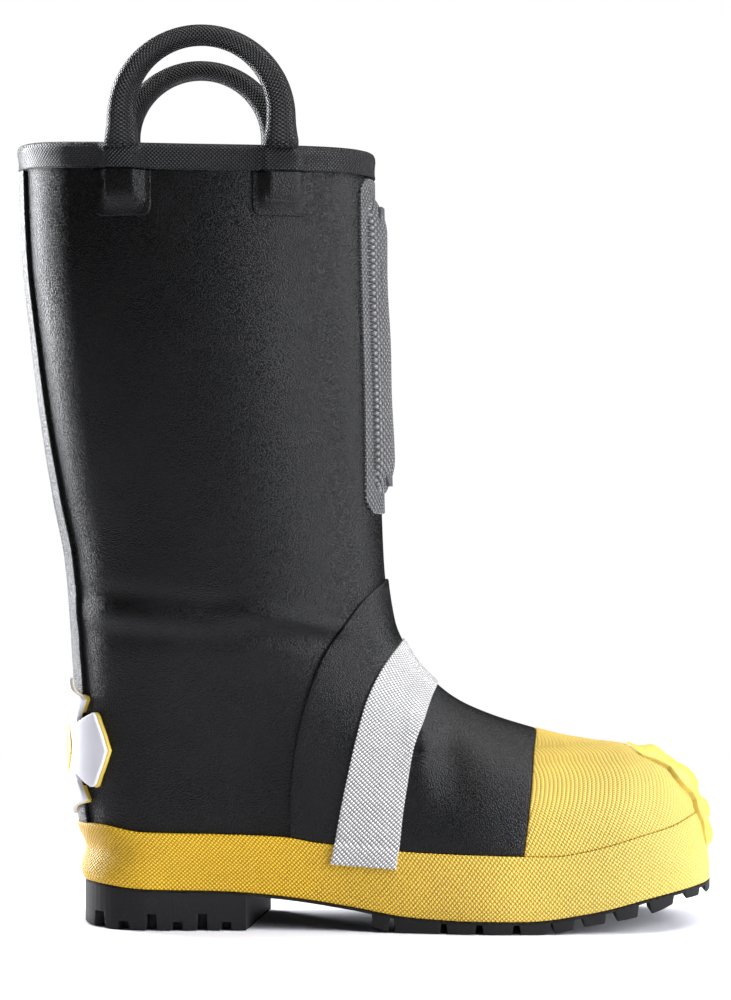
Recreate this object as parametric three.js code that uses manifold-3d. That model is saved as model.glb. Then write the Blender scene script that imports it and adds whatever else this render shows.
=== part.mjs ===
// Fire boot for the right foot: a pull-on rubber bunker boot with a steel toe cap, a reflective
// strap, a ribbed toe bumper, a lugged outsole, two moulded pull handles and a lift-out footbed.
// Millimetres, +Z up, toe along +X, outer side of the foot along -Y.
// The origin is on the ground under the middle of the boot.

import * as THREE from 'three';
import { mergeVertices } from 'three/addons/utils/BufferGeometryUtils.js';
import Module from 'manifold-3d';

const wasm = await Module();
wasm.setup();

// ---------- driving dimensions ----------

const GAP = 0.3;
const FAR = 300;

// Side profile of the rubber upper: [height, x] down the front and down the back.
const FRONT = [
  [20, 172], [50, 171.5], [66, 167], [74.2, 160.4], [81.4, 152], [85, 142], [88.4, 132.3], [90.4, 117],
  [93, 102], [96.7, 87.5], [104.2, 63.8], [111, 48.6], [120, 36], [133.5, 23.4], [154, 13.6],
  [185, 9.5], [300, 5.5], [393, 3],
];
const BACK = [
  [20, -141.5], [32, -141.5], [51, -146], [82, -148.5], [113, -148.2], [150, -150], [185, -153],
  [216, -159.2], [257, -165.8], [298, -170.4], [340, -174.5], [393, -177],
];

// Half-widths: of the shaft by height, and of the foot by x on its outer and inner side.
const SHAFT_HALF_WIDTH = [[100, 42], [150, 46], [206, 51], [300, 57], [393, 60.5]];
const FOOT_OUTER = [
  [-150, 36.5], [-110, 38], [-60, 37.5], [-20, 40], [30, 48], [75, 54.5], [120, 54], [172, 52],
];
const FOOT_INNER = [
  [-150, 36.5], [-110, 38], [-60, 36], [-20, 36], [30, 42], [75, 50], [120, 52], [172, 52],
];
const TOE_SWING = [[-180, 0], [30, 0], [100, 3], [172, 8]];
const ANKLE_BLEND = { low: 70, high: 160 };

// Roundness of the sections.
const CREST = { power: 2.35, pivotX: 70, pivotZ: 190, floor: 10 };
const HEEL_ROUND = { power: 2.25, depth: [[20, 38], [80, 42], [150, 62], [206, 83], [393, 90]] };
const TOE_ROUND = { power: 3, depth: 60, tipX: 172 };

// Rubber foxing band round the foot: [x, height] of its lower and upper edge.
const FOXING_BOTTOM = [
  [-152, 22.5], [-137, 22.5], [-112, 20.5], [-71, 19.5], [-40, 17], [-8, 12.5], [24, 7.5], [56, 6.2],
  [80, 6.2], [112, 10], [145, 17.7], [166, 22], [180, 23.8],
];
const FOXING_TOP = [
  [-152, 51.5], [-137, 52.4], [-112, 49], [-72, 48], [-40, 46.6], [-24, 44], [24, 40], [64, 38.6],
  [93, 37.9], [114, 41], [137, 47], [153, 51], [169, 56.4], [182, 58],
];
const WELT_INSET = 5;

// Top line of the shaft.
const RIM = { backX: -178, backZ: 395, frontX: 4, frontZ: 391.5, sag: 3 };

// Levels of the surface grid, from the lowest to the highest, and points on each half level.
const LEVELS = [20, 48, 70, 82, 89, 95, 104, 120, 150, 200, 290, 393];
const COLUMNS = 15;
const FLAT_LEVELS = { low: 60, high: 330 };
const BAND_STEP = 20;
const CREST_STEPS = 1200;
const OUTLINE_SAMPLES = 240;

// Layers of the wall, as distances outward from the rubber upper.
const UPPER = { outer: 0, inner: -2.5 };
const LINING = { outer: -2.8, inner: -7 };
const TOE_CAP = { outer: -2.8, inner: -4.3, rear: 110 };
const EDGE_STRIP = { outer: -2.8, inner: -5, front: 109.7, rear: 105.7 };
const COUNTER = { outer: -2.8, inner: -4.4, front: -85, top: 88 };
const OVERLAY = { inner: 0.3, outer: 1.6 };
const TOE_COVER = { inner: 0.3, outer: 1.9 };
const FOXING = { inner: 0.3, outer: 2.5 };
const STRIP = { inner: 1.9, outer: 3.1, overInner: 2.8, overOuter: 4, step: 1.6 };
const BACK_STAY = { inner: 0.3, outer: 1.8, halfWidth: 22, frontX: -100 };
const BINDING = { inner: 0.3, outer: 1.8, bore: -7.3, boreWall: -8.8, height: 10.8, over: 2 };
const BUMPER = {
  inner: 2.8, outer: 5, ribOuter: 7.4, halfWidth: 27, ribHalfWidth: 24,
  bottom: 33.6, tipX: 132.6, shoulderX: 150,
};

// Layers of the bottom, as heights above the underside of the upper.
const BOTTOM_INSET = -4.6;
const PLATE = { low: 2.8, high: 3.6 };
const FILLER = { low: 3.9, high: 5.5 };
const BOARD = { low: 5.8, high: 7.8 };
const LINING_FLOOR = { low: 8.1, high: 11.1 };
const FOOTBED = { low: 11.9, high: 16.6, offset: -10.8 };
const SHANK = { x: -35, length: 104, width: 22 };

// Rear edge of the vamp overlay, edges of the reflective strip and rear edge of the toe cover,
// all as [x, height].
const OVERLAY_REAR = [
  [20, 183], [12.1, 176.8], [-2, 164.7], [-10, 154.2], [-22, 136.5], [-28.7, 119], [-34, 99], [-36.7, 81.5],
  [-38, 65.5], [-37.8, 30],
];
const STRIP_REAR = [
  [24, 153], [18.5, 144.5], [11.2, 136], [4.5, 125], [-0.75, 112.2], [-5.1, 95], [-9.2, 76],
  [-15, 45], [-17.6, 33.5],
];
const STRIP_FRONT = [
  [46, 137], [37.2, 122.7], [28.9, 105.2], [24.3, 90.5], [21.2, 73.4], [18.7, 57], [16, 31.5],
];
const TOE_COVER_REAR = [[90, 108], [88, 98.2], [85.2, 89.5], [83.3, 73.3], [81.1, 54.7], [77.5, 30]];

// Shin pad on the front of the shaft: [y, z] box sizes, and its stand-off.
const PAD = { rearX: -60, width: 56, low: 208.8, high: 379.6, corner: 9, flange: 1.6, outer: 7.6, skin: 1.2 };
const PAD_CORE = { width: 37, low: 223, high: 366, corner: 7 };

// Heel badge: a four-armed cross, seen from behind, as [y, z] points of one quarter.
const BADGE = {
  centreZ: 89.7,
  base: 3,
  face: { inner: 3.3, outer: 4.1, scale: 0.9 },
  disc: { inner: 4.4, outer: 5.2, radius: 14.7 },
};
const BADGE_QUARTER = [[0, 35.4], [14, 30], [27, 26.4], [20, 12.5], [31, 19.6], [34, 8], [35.4, 0]];

// Bumper ribs on the toe: centre [x, height] of each rib.
const RIBS = [[151.8, 84.2], [165.6, 70.8], [171.8, 55], [174.2, 40.5]];
const RIB_RADIUS = 5.4;

// Tread: underside of the forefoot lugs, lug spans along x, and the heel block.
const TREAD = [[0, 4], [14, 0], [90, 0], [112, 4], [129, 6.7], [145, 10], [160, 15.6], [180, 17.6]];
const LUGS = [
  [2.9, 12.4], [13.9, 38], [40, 55.4], [57.8, 73.8], [76.3, 90.7], [92.9, 104], [108, 120], [124.4, 136.5],
  [141.8, 154.8], [160, 169], [171.5, 179],
];
const CENTRE_LUGS = [[20, 32], [42, 54], [64, 76], [86, 98], [108, 120]];
const LUG = { depth: 20, chamfer: 1, centreOuter: -16, centreInner: 20 };
const TREAD_BASE = { thickness: 1.2, lugRoot: 0.6, plateTop: 0.5 };
const HEEL = { breastOuter: -60, breastInner: -50, halfWidth: 45, groove: 5, grooveDepth: 5, taper: 0.8 };
const HEEL_GROOVES = [[-132.5, 8.2], [-120.7, 4.3], [-107.3, 8.2], [-94.5, 4.3], [-82, 8.2], [-69.8, 4.3]];

// Pull handles, one on each side, and their feet under the binding.
const HANDLES = [
  { name: 'outer', side: -1, centreX: -81.3 },
  { name: 'inner', side: 1, centreX: -88.3 },
];
const HANDLE = {
  y: 60, halfSpan: 39.5, topZ: 446, straightZ: 407, knuckleZ: 399.2,
  legWidth: 14.5, topWidth: 10.5, depth: 10, sides: 10, steps: 16,
};
const FOOT = { halfWidth: 7.7, inner: 0.3, outer: 3.3, bottom: 364 };
const PATCH = { halfWidth: 14.5, bottom: 357, skin: 1.5 };

// ---------- curves ----------

// Smooth curve through [t, value] points that never overshoots them.
function profile(points) {
  const last = points.length - 1;
  const secants = [];
  for (let i = 0; i < last; i += 1) {
    secants.push((points[i + 1][1] - points[i][1]) / (points[i + 1][0] - points[i][0]));
  }
  const slopes = points.map((point, i) => {
    if (i === 0) return secants[0];
    if (i === last) return secants[last - 1];
    const product = secants[i - 1] * secants[i];
    return product > 0 ? (2 * product) / (secants[i - 1] + secants[i]) : 0;
  });
  return (t) => {
    const at = THREE.MathUtils.clamp(t, points[0][0], points[last][0]);
    let i = 0;
    while (i < last - 1 && at > points[i + 1][0]) i += 1;
    const span = points[i + 1][0] - points[i][0];
    const u = (at - points[i][0]) / span;
    const blend = u * u * (3 - 2 * u);
    const rise = u * (1 - u) * (1 - u) * slopes[i] - u * u * (1 - u) * slopes[i + 1];
    return points[i][1] + (points[i + 1][1] - points[i][1]) * blend + span * rise;
  };
}

const frontX = profile(FRONT);
const backX = profile(BACK);
const shaftHalfWidth = profile(SHAFT_HALF_WIDTH);
const footHalfWidth = { '-1': profile(FOOT_OUTER), 1: profile(FOOT_INNER) };
const toeSwing = profile(TOE_SWING);
const heelDepth = profile(HEEL_ROUND.depth);
const foxingBottom = profile(FOXING_BOTTOM);
const foxingTop = profile(FOXING_TOP);
const treadBottom = profile(TREAD);
const shellBottom = (x) => foxingBottom(x) + WELT_INSET;

// Height of the front crest above each x, from a finely sampled front profile.
const crestLine = Array.from({ length: CREST_STEPS + 1 }, (unused, i) => {
  const z = FRONT[0][0] + ((FRONT.at(-1)[0] - FRONT[0][0]) * i) / CREST_STEPS;
  return { x: frontX(z), z };
});

// Value on a list of { key, value } samples, between the two that bracket a key. Keys fall.
function lookUp(samples, wanted, key, value) {
  let low = 0;
  let high = samples.length - 1;
  while (high - low > 1) {
    const middle = (low + high) >> 1;
    if (key(samples[middle]) > wanted) low = middle;
    else high = middle;
  }
  const span = key(samples[low]) - key(samples[high]);
  const u = THREE.MathUtils.clamp((key(samples[low]) - wanted) / span, 0, 1);
  return value(samples[low]) + (value(samples[high]) - value(samples[low])) * u;
}

const crestZ = (x) => lookUp(crestLine, x, (point) => point.x, (point) => point.z);

// The crest round the instep, as distance from the pivot by angle.
const instep = crestLine
  .filter((point) => point.z <= CREST.pivotZ + 1 && point.x <= CREST.pivotX + 1)
  .map((point) => ({
    angle: Math.atan2(CREST.pivotZ - point.z, CREST.pivotX - point.x),
    radius: Math.hypot(CREST.pivotZ - point.z, CREST.pivotX - point.x),
  }));
const instepRadius = (angle) => lookUp(instep, angle, (point) => point.angle, (point) => point.radius);

// Depth of a point below the crest, as a share of the depth at which the side is fully wide.
function crestShare(x, z) {
  const shaftDepth = (level) => (frontX(level) - backX(level)) / 2;
  if (z >= CREST.pivotZ) return (frontX(z) - x) / shaftDepth(z);
  if (x >= CREST.pivotX) return (crestZ(x) - z) / Math.max(crestZ(x) - CREST.floor, 1);
  const angle = Math.atan2(CREST.pivotZ - z, CREST.pivotX - x);
  const reach = Math.hypot(CREST.pivotZ - z, CREST.pivotX - x);
  const footDepth = crestZ(CREST.pivotX) - CREST.floor;
  const depth = THREE.MathUtils.lerp(shaftDepth(CREST.pivotZ), footDepth, (2 * angle) / Math.PI);
  return (reach - instepRadius(angle)) / depth;
}

// Rise of a rounded edge from 0 to 1 as the share goes from 0 to 1.
function rounded(share, power) {
  if (share >= 1) return 1;
  if (share <= 0) return 0;
  return (1 - (1 - share) ** power) ** (1 / power);
}

function halfWidth(x, z, side) {
  const blend = THREE.MathUtils.smoothstep(z, ANKLE_BLEND.low, ANKLE_BLEND.high);
  const wide = THREE.MathUtils.lerp(footHalfWidth[side](x), shaftHalfWidth(z), blend);
  const heel = rounded((x - backX(z)) / heelDepth(z), HEEL_ROUND.power);
  const toe = rounded((TOE_ROUND.tipX - x) / TOE_ROUND.depth, TOE_ROUND.power);
  return wide * rounded(crestShare(x, z), CREST.power) * heel * toe;
}

// Height of the rim above each x.
function rimZ(x) {
  const u = (x - RIM.backX) / (RIM.frontX - RIM.backX);
  return THREE.MathUtils.lerp(RIM.backZ, RIM.frontZ, u) - 4 * RIM.sag * u * (1 - u);
}

// Real height of a point on a grid level: the lowest levels follow the sole, the highest the rim.
function levelZ(x, level) {
  if (level < FLAT_LEVELS.low) {
    const share = (level - LEVELS[0]) / (FLAT_LEVELS.low - LEVELS[0]);
    return THREE.MathUtils.lerp(shellBottom(x), FLAT_LEVELS.low, share);
  }
  if (level > FLAT_LEVELS.high) {
    const share = (level - FLAT_LEVELS.high) / (LEVELS.at(-1) - FLAT_LEVELS.high);
    return THREE.MathUtils.lerp(FLAT_LEVELS.high, rimZ(x), share);
  }
  return level;
}

// ---------- the surface grid ----------

// Half of one level, from the front crest to the back, in equal steps along the outline.
function halfLevel(level, side) {
  const samples = OUTLINE_SAMPLES;
  const dense = [];
  let length = 0;
  for (let i = 0; i <= samples; i += 1) {
    const u = (1 - Math.cos((Math.PI * i) / samples)) / 2;
    const x = THREE.MathUtils.lerp(frontX(level), backX(level), u);
    const wide = i === 0 || i === samples ? 0 : halfWidth(x, level, side);
    const point = new THREE.Vector3(x, toeSwing(x) + side * wide, levelZ(x, level));
    if (i > 0) length += Math.hypot(point.x - dense.at(-1).point.x, point.y - dense.at(-1).point.y);
    dense.push({ point, length });
  }
  const half = [];
  let k = 0;
  for (let i = 0; i <= COLUMNS; i += 1) {
    const wanted = (length * i) / COLUMNS;
    while (k < samples - 1 && dense[k + 1].length < wanted) k += 1;
    const u = (wanted - dense[k].length) / (dense[k + 1].length - dense[k].length);
    half.push(dense[k].point.clone().lerp(dense[k + 1].point, u));
  }
  return half;
}

function ringAt(level) {
  const near = halfLevel(level, -1);
  const far = halfLevel(level, 1);
  return [...near, ...far.slice(1, -1).reverse()];
}

const grid = LEVELS.map(ringAt);

// Outward direction at each grid point; level at the sole and at the rim.
const outward = grid.map((ring, j) => ring.map((point, k) => {
  const along = ring[(k + 1) % ring.length].clone().sub(ring.at(k - 1));
  const above = grid[Math.min(j + 1, grid.length - 1)][k];
  const below = grid[Math.max(j - 1, 0)][k];
  const normal = new THREE.Vector3().crossVectors(above.clone().sub(below), along);
  if (j === 0 || j === grid.length - 1) normal.z = 0;
  return normal.normalize();
}));

const moved = (ring, normals, offset) => ring.map(
  (point, k) => point.clone().addScaledVector(normals[k], offset),
);
const shifted = (ring, height) => ring.map((point) => point.clone().setZ(point.z + height));

// Ring of the wall at a height above the sole line, on the straight run to the next level.
function floorRing(lowest, next, height) {
  return lowest.map((point, k) => point.clone().lerp(next[k], height / (next[k].z - point.z)));
}

// ---------- solids ----------

// Closed surface through rings of equal count, with its ends closed straight across.
function loft(rings) {
  const count = rings[0].length;
  const half = count / 2;
  const positions = rings.flat().flatMap((point) => [point.x, point.y, point.z]);
  const index = [];
  const quad = (a, b, c, d) => index.push(a, b, c, a, c, d);
  for (let j = 0; j + 1 < rings.length; j += 1) {
    for (let k = 0; k < count; k += 1) {
      const next = (k + 1) % count;
      quad(j * count + k, (j + 1) * count + k, (j + 1) * count + next, j * count + next);
    }
  }
  const cap = (start, flip) => {
    for (let k = 0; k < half; k += 1) {
      const a = start + k;
      const b = start + k + 1;
      const c = start + ((count - k - 1) % count);
      const d = start + ((count - k) % count);
      const corners = k === 0 ? [[a, b, c]] : k === half - 1 ? [[a, b, d]] : [[a, b, c], [a, c, d]];
      for (const [p, q, r] of corners) index.push(...(flip ? [p, r, q] : [p, q, r]));
    }
  };
  cap(0, false);
  cap((rings.length - 1) * count, true);
  const geometry = new THREE.BufferGeometry();
  geometry.setAttribute('position', new THREE.Float32BufferAttribute(positions, 3));
  geometry.setIndex(index);
  return toSolid(geometry);
}

function toSolid(geometry) {
  const bare = geometry.clone();
  bare.deleteAttribute('normal');
  bare.deleteAttribute('uv');
  const merged = mergeVertices(bare);
  return new wasm.Manifold(new wasm.Mesh({
    numProp: 3,
    vertProperties: Float32Array.from(merged.attributes.position.array),
    triVerts: Uint32Array.from(merged.index.array),
  }));
}

function toGeometry(solid) {
  const mesh = solid.getMesh();
  const geometry = new THREE.BufferGeometry();
  geometry.setAttribute('position', new THREE.BufferAttribute(mesh.vertProperties, 3));
  geometry.setIndex(new THREE.BufferAttribute(mesh.triVerts, 1));
  geometry.computeVertexNormals();
  return geometry;
}

// The boot filled solid, with its wall moved outward by an offset. The floor is a height above the
// underside of the upper (below it, the wall drops straight down) and the top a height above the rim.
function bootSolid(offset, floor = 0, top = 0) {
  const rings = grid.map((ring, j) => moved(ring, outward[j], offset));
  for (const point of rings[0]) point.setZ(shellBottom(point.x));
  for (const point of rings.at(-1)) point.setZ(rimZ(point.x));
  if (floor > 0) rings[0] = floorRing(rings[0], rings[1], floor);
  if (floor < 0) rings.unshift(shifted(rings[0], floor));
  if (top > 0) rings.push(shifted(rings.at(-1), top));
  return loft(rings);
}

// A flat layer across the bottom of the boot, between two heights above the underside of the upper.
function bottomLayer(offset, { low, high }) {
  const ring = moved(grid[0], outward[0], offset);
  for (const point of ring) point.setZ(shellBottom(point.x));
  return loft([shifted(ring, low), shifted(ring, high)]);
}

const SKIRT = -40;

// A layer of the wall between two offsets, with enough skirt and top for any cut.
const wall = ({ inner, outer }) => bootSolid(outer, SKIRT, 1).subtract(bootSolid(inner, SKIRT - 1, 2));

const shapeOf = (points) => new THREE.Shape(points.map(([u, v]) => new THREE.Vector2(u, v)));

// Axes that an outline's two directions and its thickness run along.
const AXES = {
  side: new THREE.Matrix4().set(1, 0, 0, 0, 0, 0, -1, 0, 0, 1, 0, 0, 0, 0, 0, 1),
  front: new THREE.Matrix4().set(0, 0, 1, 0, 1, 0, 0, 0, 0, 1, 0, 0, 0, 0, 0, 1),
  plan: new THREE.Matrix4(),
};

// Outline extruded across the boot ('side': x, z), along it ('front': y, z) or upward ('plan': x, y).
function prism(view, shape, from, to, curveSegments = 6) {
  const geometry = new THREE.ExtrudeGeometry(shape, { depth: to - from, bevelEnabled: false, curveSegments });
  geometry.translate(0, 0, view === 'side' ? -to : from);
  geometry.applyMatrix4(AXES[view]);
  return toSolid(geometry);
}

const sidePrism = (points, from = -FAR, to = FAR) => prism('side', shapeOf(points), from, to);

const always = (height) => () => height;

// Side region between two curves of x, sampled in steps.
function band(lower, upper, x0 = -200, x1 = 200) {
  const steps = Math.ceil((x1 - x0) / BAND_STEP);
  const xs = Array.from({ length: steps + 1 }, (unused, i) => x0 + ((x1 - x0) * i) / steps);
  const bottom = xs.map((x) => [x, lower(x)]);
  const top = xs.map((x) => [x, upper(x)]).reverse();
  return sidePrism([...bottom, ...top]);
}

const xSlab = (x0, x1) => sidePrism([[x0, -FAR], [x1, -FAR], [x1, 2 * FAR], [x0, 2 * FAR]]);
const boxSide = (x0, x1, z0, z1, side) => {
  const [from, to] = side < 0 ? [-FAR, 0] : side > 0 ? [0, FAR] : [-FAR, FAR];
  return sidePrism([[x0, z0], [x1, z0], [x1, z1], [x0, z1]], from, to);
};

function roundedBox(width, low, high, corner) {
  const shape = new THREE.Shape();
  const half = width / 2;
  shape.moveTo(half, low + corner);
  shape.absarc(half - corner, high - corner, corner, 0, Math.PI / 2);
  shape.absarc(corner - half, high - corner, corner, Math.PI / 2, Math.PI);
  shape.absarc(corner - half, low + corner, corner, Math.PI, 1.5 * Math.PI);
  shape.absarc(half - corner, low + corner, corner, 1.5 * Math.PI, 2 * Math.PI);
  return shape;
}

const joined = (solids) => solids.reduce((sum, solid) => sum.add(solid));

// ---------- parts ----------

const boot = new THREE.Group();

function addPart(name, solid, color, roughness, metalness = 0) {
  const bodies = solid.decompose();
  const main = bodies.reduce((best, body) => (body.volume() > best.volume() ? body : best));
  const material = new THREE.MeshStandardMaterial({ color, roughness, metalness });
  const mesh = new THREE.Mesh(toGeometry(main), material);
  mesh.name = name;
  boot.add(mesh);
}

const BLACK = 0x17181a;
const YELLOW = 0xf2c21b;
const STEEL = 0x9a9da1;

function upperShell() {
  return bootSolid(UPPER.outer).subtract(bootSolid(UPPER.inner, -UPPER.inner, 5));
}

// Where the toe cap, its edge strip and the counter sit, grown by the gap that the lining leaves.
function reliefZone({ inner, outer }, region) {
  return bootSolid(outer + 1).subtract(bootSolid(inner - GAP)).intersect(region);
}

function lining() {
  const inside = bootSolid(LINING.inner, LINING_FLOOR.high, 5);
  const cup = bootSolid(LINING.outer, LINING_FLOOR.low).subtract(inside);
  const stripZone = reliefZone(EDGE_STRIP, xSlab(EDGE_STRIP.rear - GAP, TOE_CAP.rear));
  const capZone = reliefZone(TOE_CAP, xSlab(EDGE_STRIP.front, FAR));
  const counterZone = reliefZone(COUNTER, boxSide(-FAR, COUNTER.front + GAP, 0, COUNTER.top + GAP, 0));
  return cup.subtract(stripZone).subtract(capZone).subtract(counterZone);
}

function innerShell({ inner, outer }, region) {
  const bottom = bottomLayer(0, { low: SKIRT, high: LINING_FLOOR.low });
  return bootSolid(outer).subtract(bootSolid(inner, 0, 1)).subtract(bottom).intersect(region);
}

// Space of the steel bar along the waist of the sole, grown by a gap.
function shank(grow) {
  const half = SHANK.length / 2 + grow;
  const bar = roundedBox(SHANK.width + 2 * grow, -half, half, SHANK.width / 2 + grow - 0.5);
  return prism('front', bar, -FAR, FAR).rotate([0, 90, 0]).translate([SHANK.x, 0, 0]);
}

function foxingBand() {
  return wall(FOXING).intersect(band(foxingBottom, foxingTop));
}

const aboveFoxing = () => band((x) => foxingTop(x) + GAP, always(2 * FAR));

function vampOverlay() {
  const front = TOE_COVER_REAR.map(([x, z]) => [x - GAP, z]).reverse();
  const outline = [...OVERLAY_REAR, ...front, [front.at(-1)[0], OVERLAY_REAR[0][1]]];
  return wall(OVERLAY).intersect(sidePrism(outline)).intersect(aboveFoxing());
}

function toeCover() {
  const outline = [...TOE_COVER_REAR, [FAR, 30], [FAR, 108]];
  return wall(TOE_COVER).intersect(sidePrism(outline)).intersect(aboveFoxing());
}

function reflectiveStrip() {
  const outline = [...STRIP_REAR, ...[...STRIP_FRONT].reverse()];
  const above = wall(STRIP).intersect(band((x) => foxingTop(x) + GAP, always(2 * FAR)));
  const step = wall({ inner: STRIP.inner, outer: STRIP.overOuter })
    .intersect(band((x) => foxingTop(x) + GAP, (x) => foxingTop(x) + STRIP.step));
  const over = wall({ inner: STRIP.overInner, outer: STRIP.overOuter })
    .intersect(band(always(0), (x) => foxingTop(x) + STRIP.step));
  return joined([above, step, over]).intersect(sidePrism(outline));
}

// Smooth rubber tongue over the toe tip, with cross ribs.
function toeBumper() {
  const tongue = new THREE.Shape();
  const { halfWidth: half } = BUMPER;
  const { tipX, shoulderX } = BUMPER;
  const middleY = toeSwing(shoulderX);
  const blendX = (tipX + shoulderX) / 2;
  tongue.moveTo(FAR, middleY + half);
  tongue.lineTo(shoulderX, middleY + half);
  tongue.bezierCurveTo(blendX, middleY + half, tipX, middleY + half / 2, tipX, middleY);
  tongue.bezierCurveTo(tipX, middleY - half / 2, blendX, middleY - half, shoulderX, middleY - half);
  tongue.lineTo(FAR, middleY - half);
  const region = prism('plan', tongue, BUMPER.bottom, FAR, 5);
  const ribs = joined(RIBS.map(([x, z]) => {
    const circle = new THREE.Shape();
    circle.absarc(x, z, RIB_RADIUS, 0, 2 * Math.PI);
    return prism('side', circle, middleY - BUMPER.ribHalfWidth, middleY + BUMPER.ribHalfWidth, 5);
  }));
  const plate = bootSolid(BUMPER.outer, SKIRT);
  const crown = bootSolid(BUMPER.ribOuter, SKIRT).intersect(ribs);
  return plate.add(crown).subtract(bootSolid(BUMPER.inner, SKIRT - 1)).intersect(region);
}

function backStay() {
  const { halfWidth: half } = BACK_STAY;
  const strip = prism('front', roundedBox(2 * half, -FAR, 2 * FAR, 1), -FAR, BACK_STAY.frontX);
  const below = band((x) => foxingTop(x) + GAP, (x) => rimZ(x) - BINDING.height - GAP);
  return wall(BACK_STAY).intersect(strip).intersect(below);
}

function badgeOutline(scale) {
  const right = [...BADGE_QUARTER, ...BADGE_QUARTER.slice(0, -1).reverse().map(([y, z]) => [y, -z])];
  const left = right.slice(1, -1).reverse().map(([y, z]) => [-y, z]);
  return shapeOf([...right, ...left].map(([y, z]) => [y * scale, BADGE.centreZ + z * scale]));
}

function badgeBase() {
  const cross = prism('front', badgeOutline(1), -FAR, BACK_STAY.frontX);
  const stayZone = boxSide(-FAR, 0, -FAR, 2 * FAR, 0)
    .intersect(prism('front', roundedBox(2 * (BACK_STAY.halfWidth + GAP), -FAR, 2 * FAR, 1), -FAR, 0));
  const overStay = stayZone.intersect(bootSolid(BACK_STAY.outer + GAP, SKIRT, 1));
  return wall({ inner: BACK_STAY.inner, outer: BADGE.base }).intersect(cross).subtract(overStay);
}

function badgeFace() {
  return wall(BADGE.face).intersect(prism('front', badgeOutline(BADGE.face.scale), -FAR, BACK_STAY.frontX));
}

function badgeDisc() {
  const circle = new THREE.Shape();
  circle.absarc(0, BADGE.centreZ, BADGE.disc.radius, 0, 2 * Math.PI);
  return wall(BADGE.disc).intersect(prism('front', circle, -FAR, BACK_STAY.frontX, 10));
}

// Sides of the two legs of a handle, seen from the side of the boot.
const legs = ({ centreX }) => [centreX - HANDLE.halfSpan, centreX + HANDLE.halfSpan];

// Space round all handle feet, at a half-width, from a height up.
function feetZone(half, bottom) {
  return joined(HANDLES.flatMap((handle) => legs(handle).map(
    (x) => boxSide(x - half, x + half, bottom, 2 * FAR, handle.side),
  )));
}

function topBinding() {
  const skin = BINDING.outer - BINDING.inner;
  const covered = FOOT.outer + GAP;
  const bulge = bootSolid(covered + skin, 0, BINDING.over)
    .intersect(feetZone(FOOT.halfWidth + GAP + skin, 0));
  const outer = bootSolid(BINDING.outer, 0, BINDING.over).add(bulge);
  const pocket = bootSolid(covered, 0, GAP).intersect(feetZone(FOOT.halfWidth + GAP, 0));
  const hollow = bootSolid(BINDING.inner, 0, GAP).add(pocket).subtract(bootSolid(BINDING.bore, 0, 5));
  const solid = outer.subtract(hollow).subtract(bootSolid(BINDING.boreWall, 0, 5));
  return solid.intersect(band((x) => rimZ(x) - BINDING.height, always(2 * FAR)));
}

function handleFoot(handle, x) {
  const column = boxSide(x - FOOT.halfWidth, x + FOOT.halfWidth, FOOT.bottom, 2 * FAR, handle.side);
  return bootSolid(FOOT.outer).subtract(bootSolid(FOOT.inner, -1, 1)).intersect(column);
}

function handlePatch(handle, x) {
  const belowBinding = band(always(0), (at) => rimZ(at) - BINDING.height - GAP);
  const column = (half, bottom) => boxSide(x - half, x + half, bottom, 2 * FAR, handle.side);
  const covered = FOOT.outer + GAP;
  const flange = bootSolid(FOOT.inner + PATCH.skin).intersect(column(PATCH.halfWidth, PATCH.bottom));
  const bump = bootSolid(covered + PATCH.skin)
    .intersect(column(FOOT.halfWidth + GAP + PATCH.skin, FOOT.bottom - GAP - PATCH.skin));
  const pocket = bootSolid(covered).intersect(column(FOOT.halfWidth + GAP, FOOT.bottom - GAP));
  return flange.add(bump).subtract(pocket).subtract(bootSolid(FOOT.inner)).intersect(belowBinding);
}

// Arched grip on two legs. The ends are rounded about the x axis, where the rubber bends.
function pullHandle({ side, centreX }) {
  const rings = [];
  const ring = (x, z, lean, width, depth) => {
    const points = [];
    for (let k = 0; k < HANDLE.sides; k += 1) {
      const turn = (2 * Math.PI * k) / HANDLE.sides;
      const across = (Math.cos(turn) * width) / 2;
      const y = side * HANDLE.y - (Math.sin(turn) * depth) / 2;
      points.push(new THREE.Vector3(x + across * Math.cos(lean), y, z + across * Math.sin(lean)));
    }
    rings.push(points);
  };
  const knuckle = HANDLE.depth / 2;
  const roundings = [75, 50, 25, 0].map(THREE.MathUtils.degToRad);
  const rightX = centreX + HANDLE.halfSpan;
  const leftX = centreX - HANDLE.halfSpan;
  for (const angle of roundings) {
    const z = HANDLE.knuckleZ - knuckle * Math.sin(angle);
    ring(rightX, z, 0, HANDLE.legWidth, HANDLE.depth * Math.cos(angle));
  }
  for (let i = 0; i <= HANDLE.steps; i += 1) {
    const turn = (Math.PI * i) / HANDLE.steps;
    const rise = Math.sin(turn);
    const width = THREE.MathUtils.lerp(HANDLE.legWidth, HANDLE.topWidth, rise);
    const x = centreX + HANDLE.halfSpan * Math.cos(turn);
    const z = HANDLE.straightZ + (HANDLE.topZ - HANDLE.straightZ) * rise;
    const lean = Math.atan2((HANDLE.halfSpan * rise), (HANDLE.topZ - HANDLE.straightZ) * Math.cos(turn));
    ring(x, z, lean, width, HANDLE.depth);
  }
  for (const angle of roundings.reverse()) {
    const z = HANDLE.knuckleZ - knuckle * Math.sin(angle);
    ring(leftX, z, Math.PI, HANDLE.legWidth, HANDLE.depth * Math.cos(angle));
  }
  return loft(rings);
}

function shinPadCore() {
  const outline = roundedBox(PAD_CORE.width, PAD_CORE.low, PAD_CORE.high, PAD_CORE.corner);
  const layer = bootSolid(PAD.outer - PAD.skin - GAP).subtract(bootSolid(OVERLAY.inner, -1, 1));
  return layer.intersect(prism('front', outline, PAD.rearX, FAR, 3));
}

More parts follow.
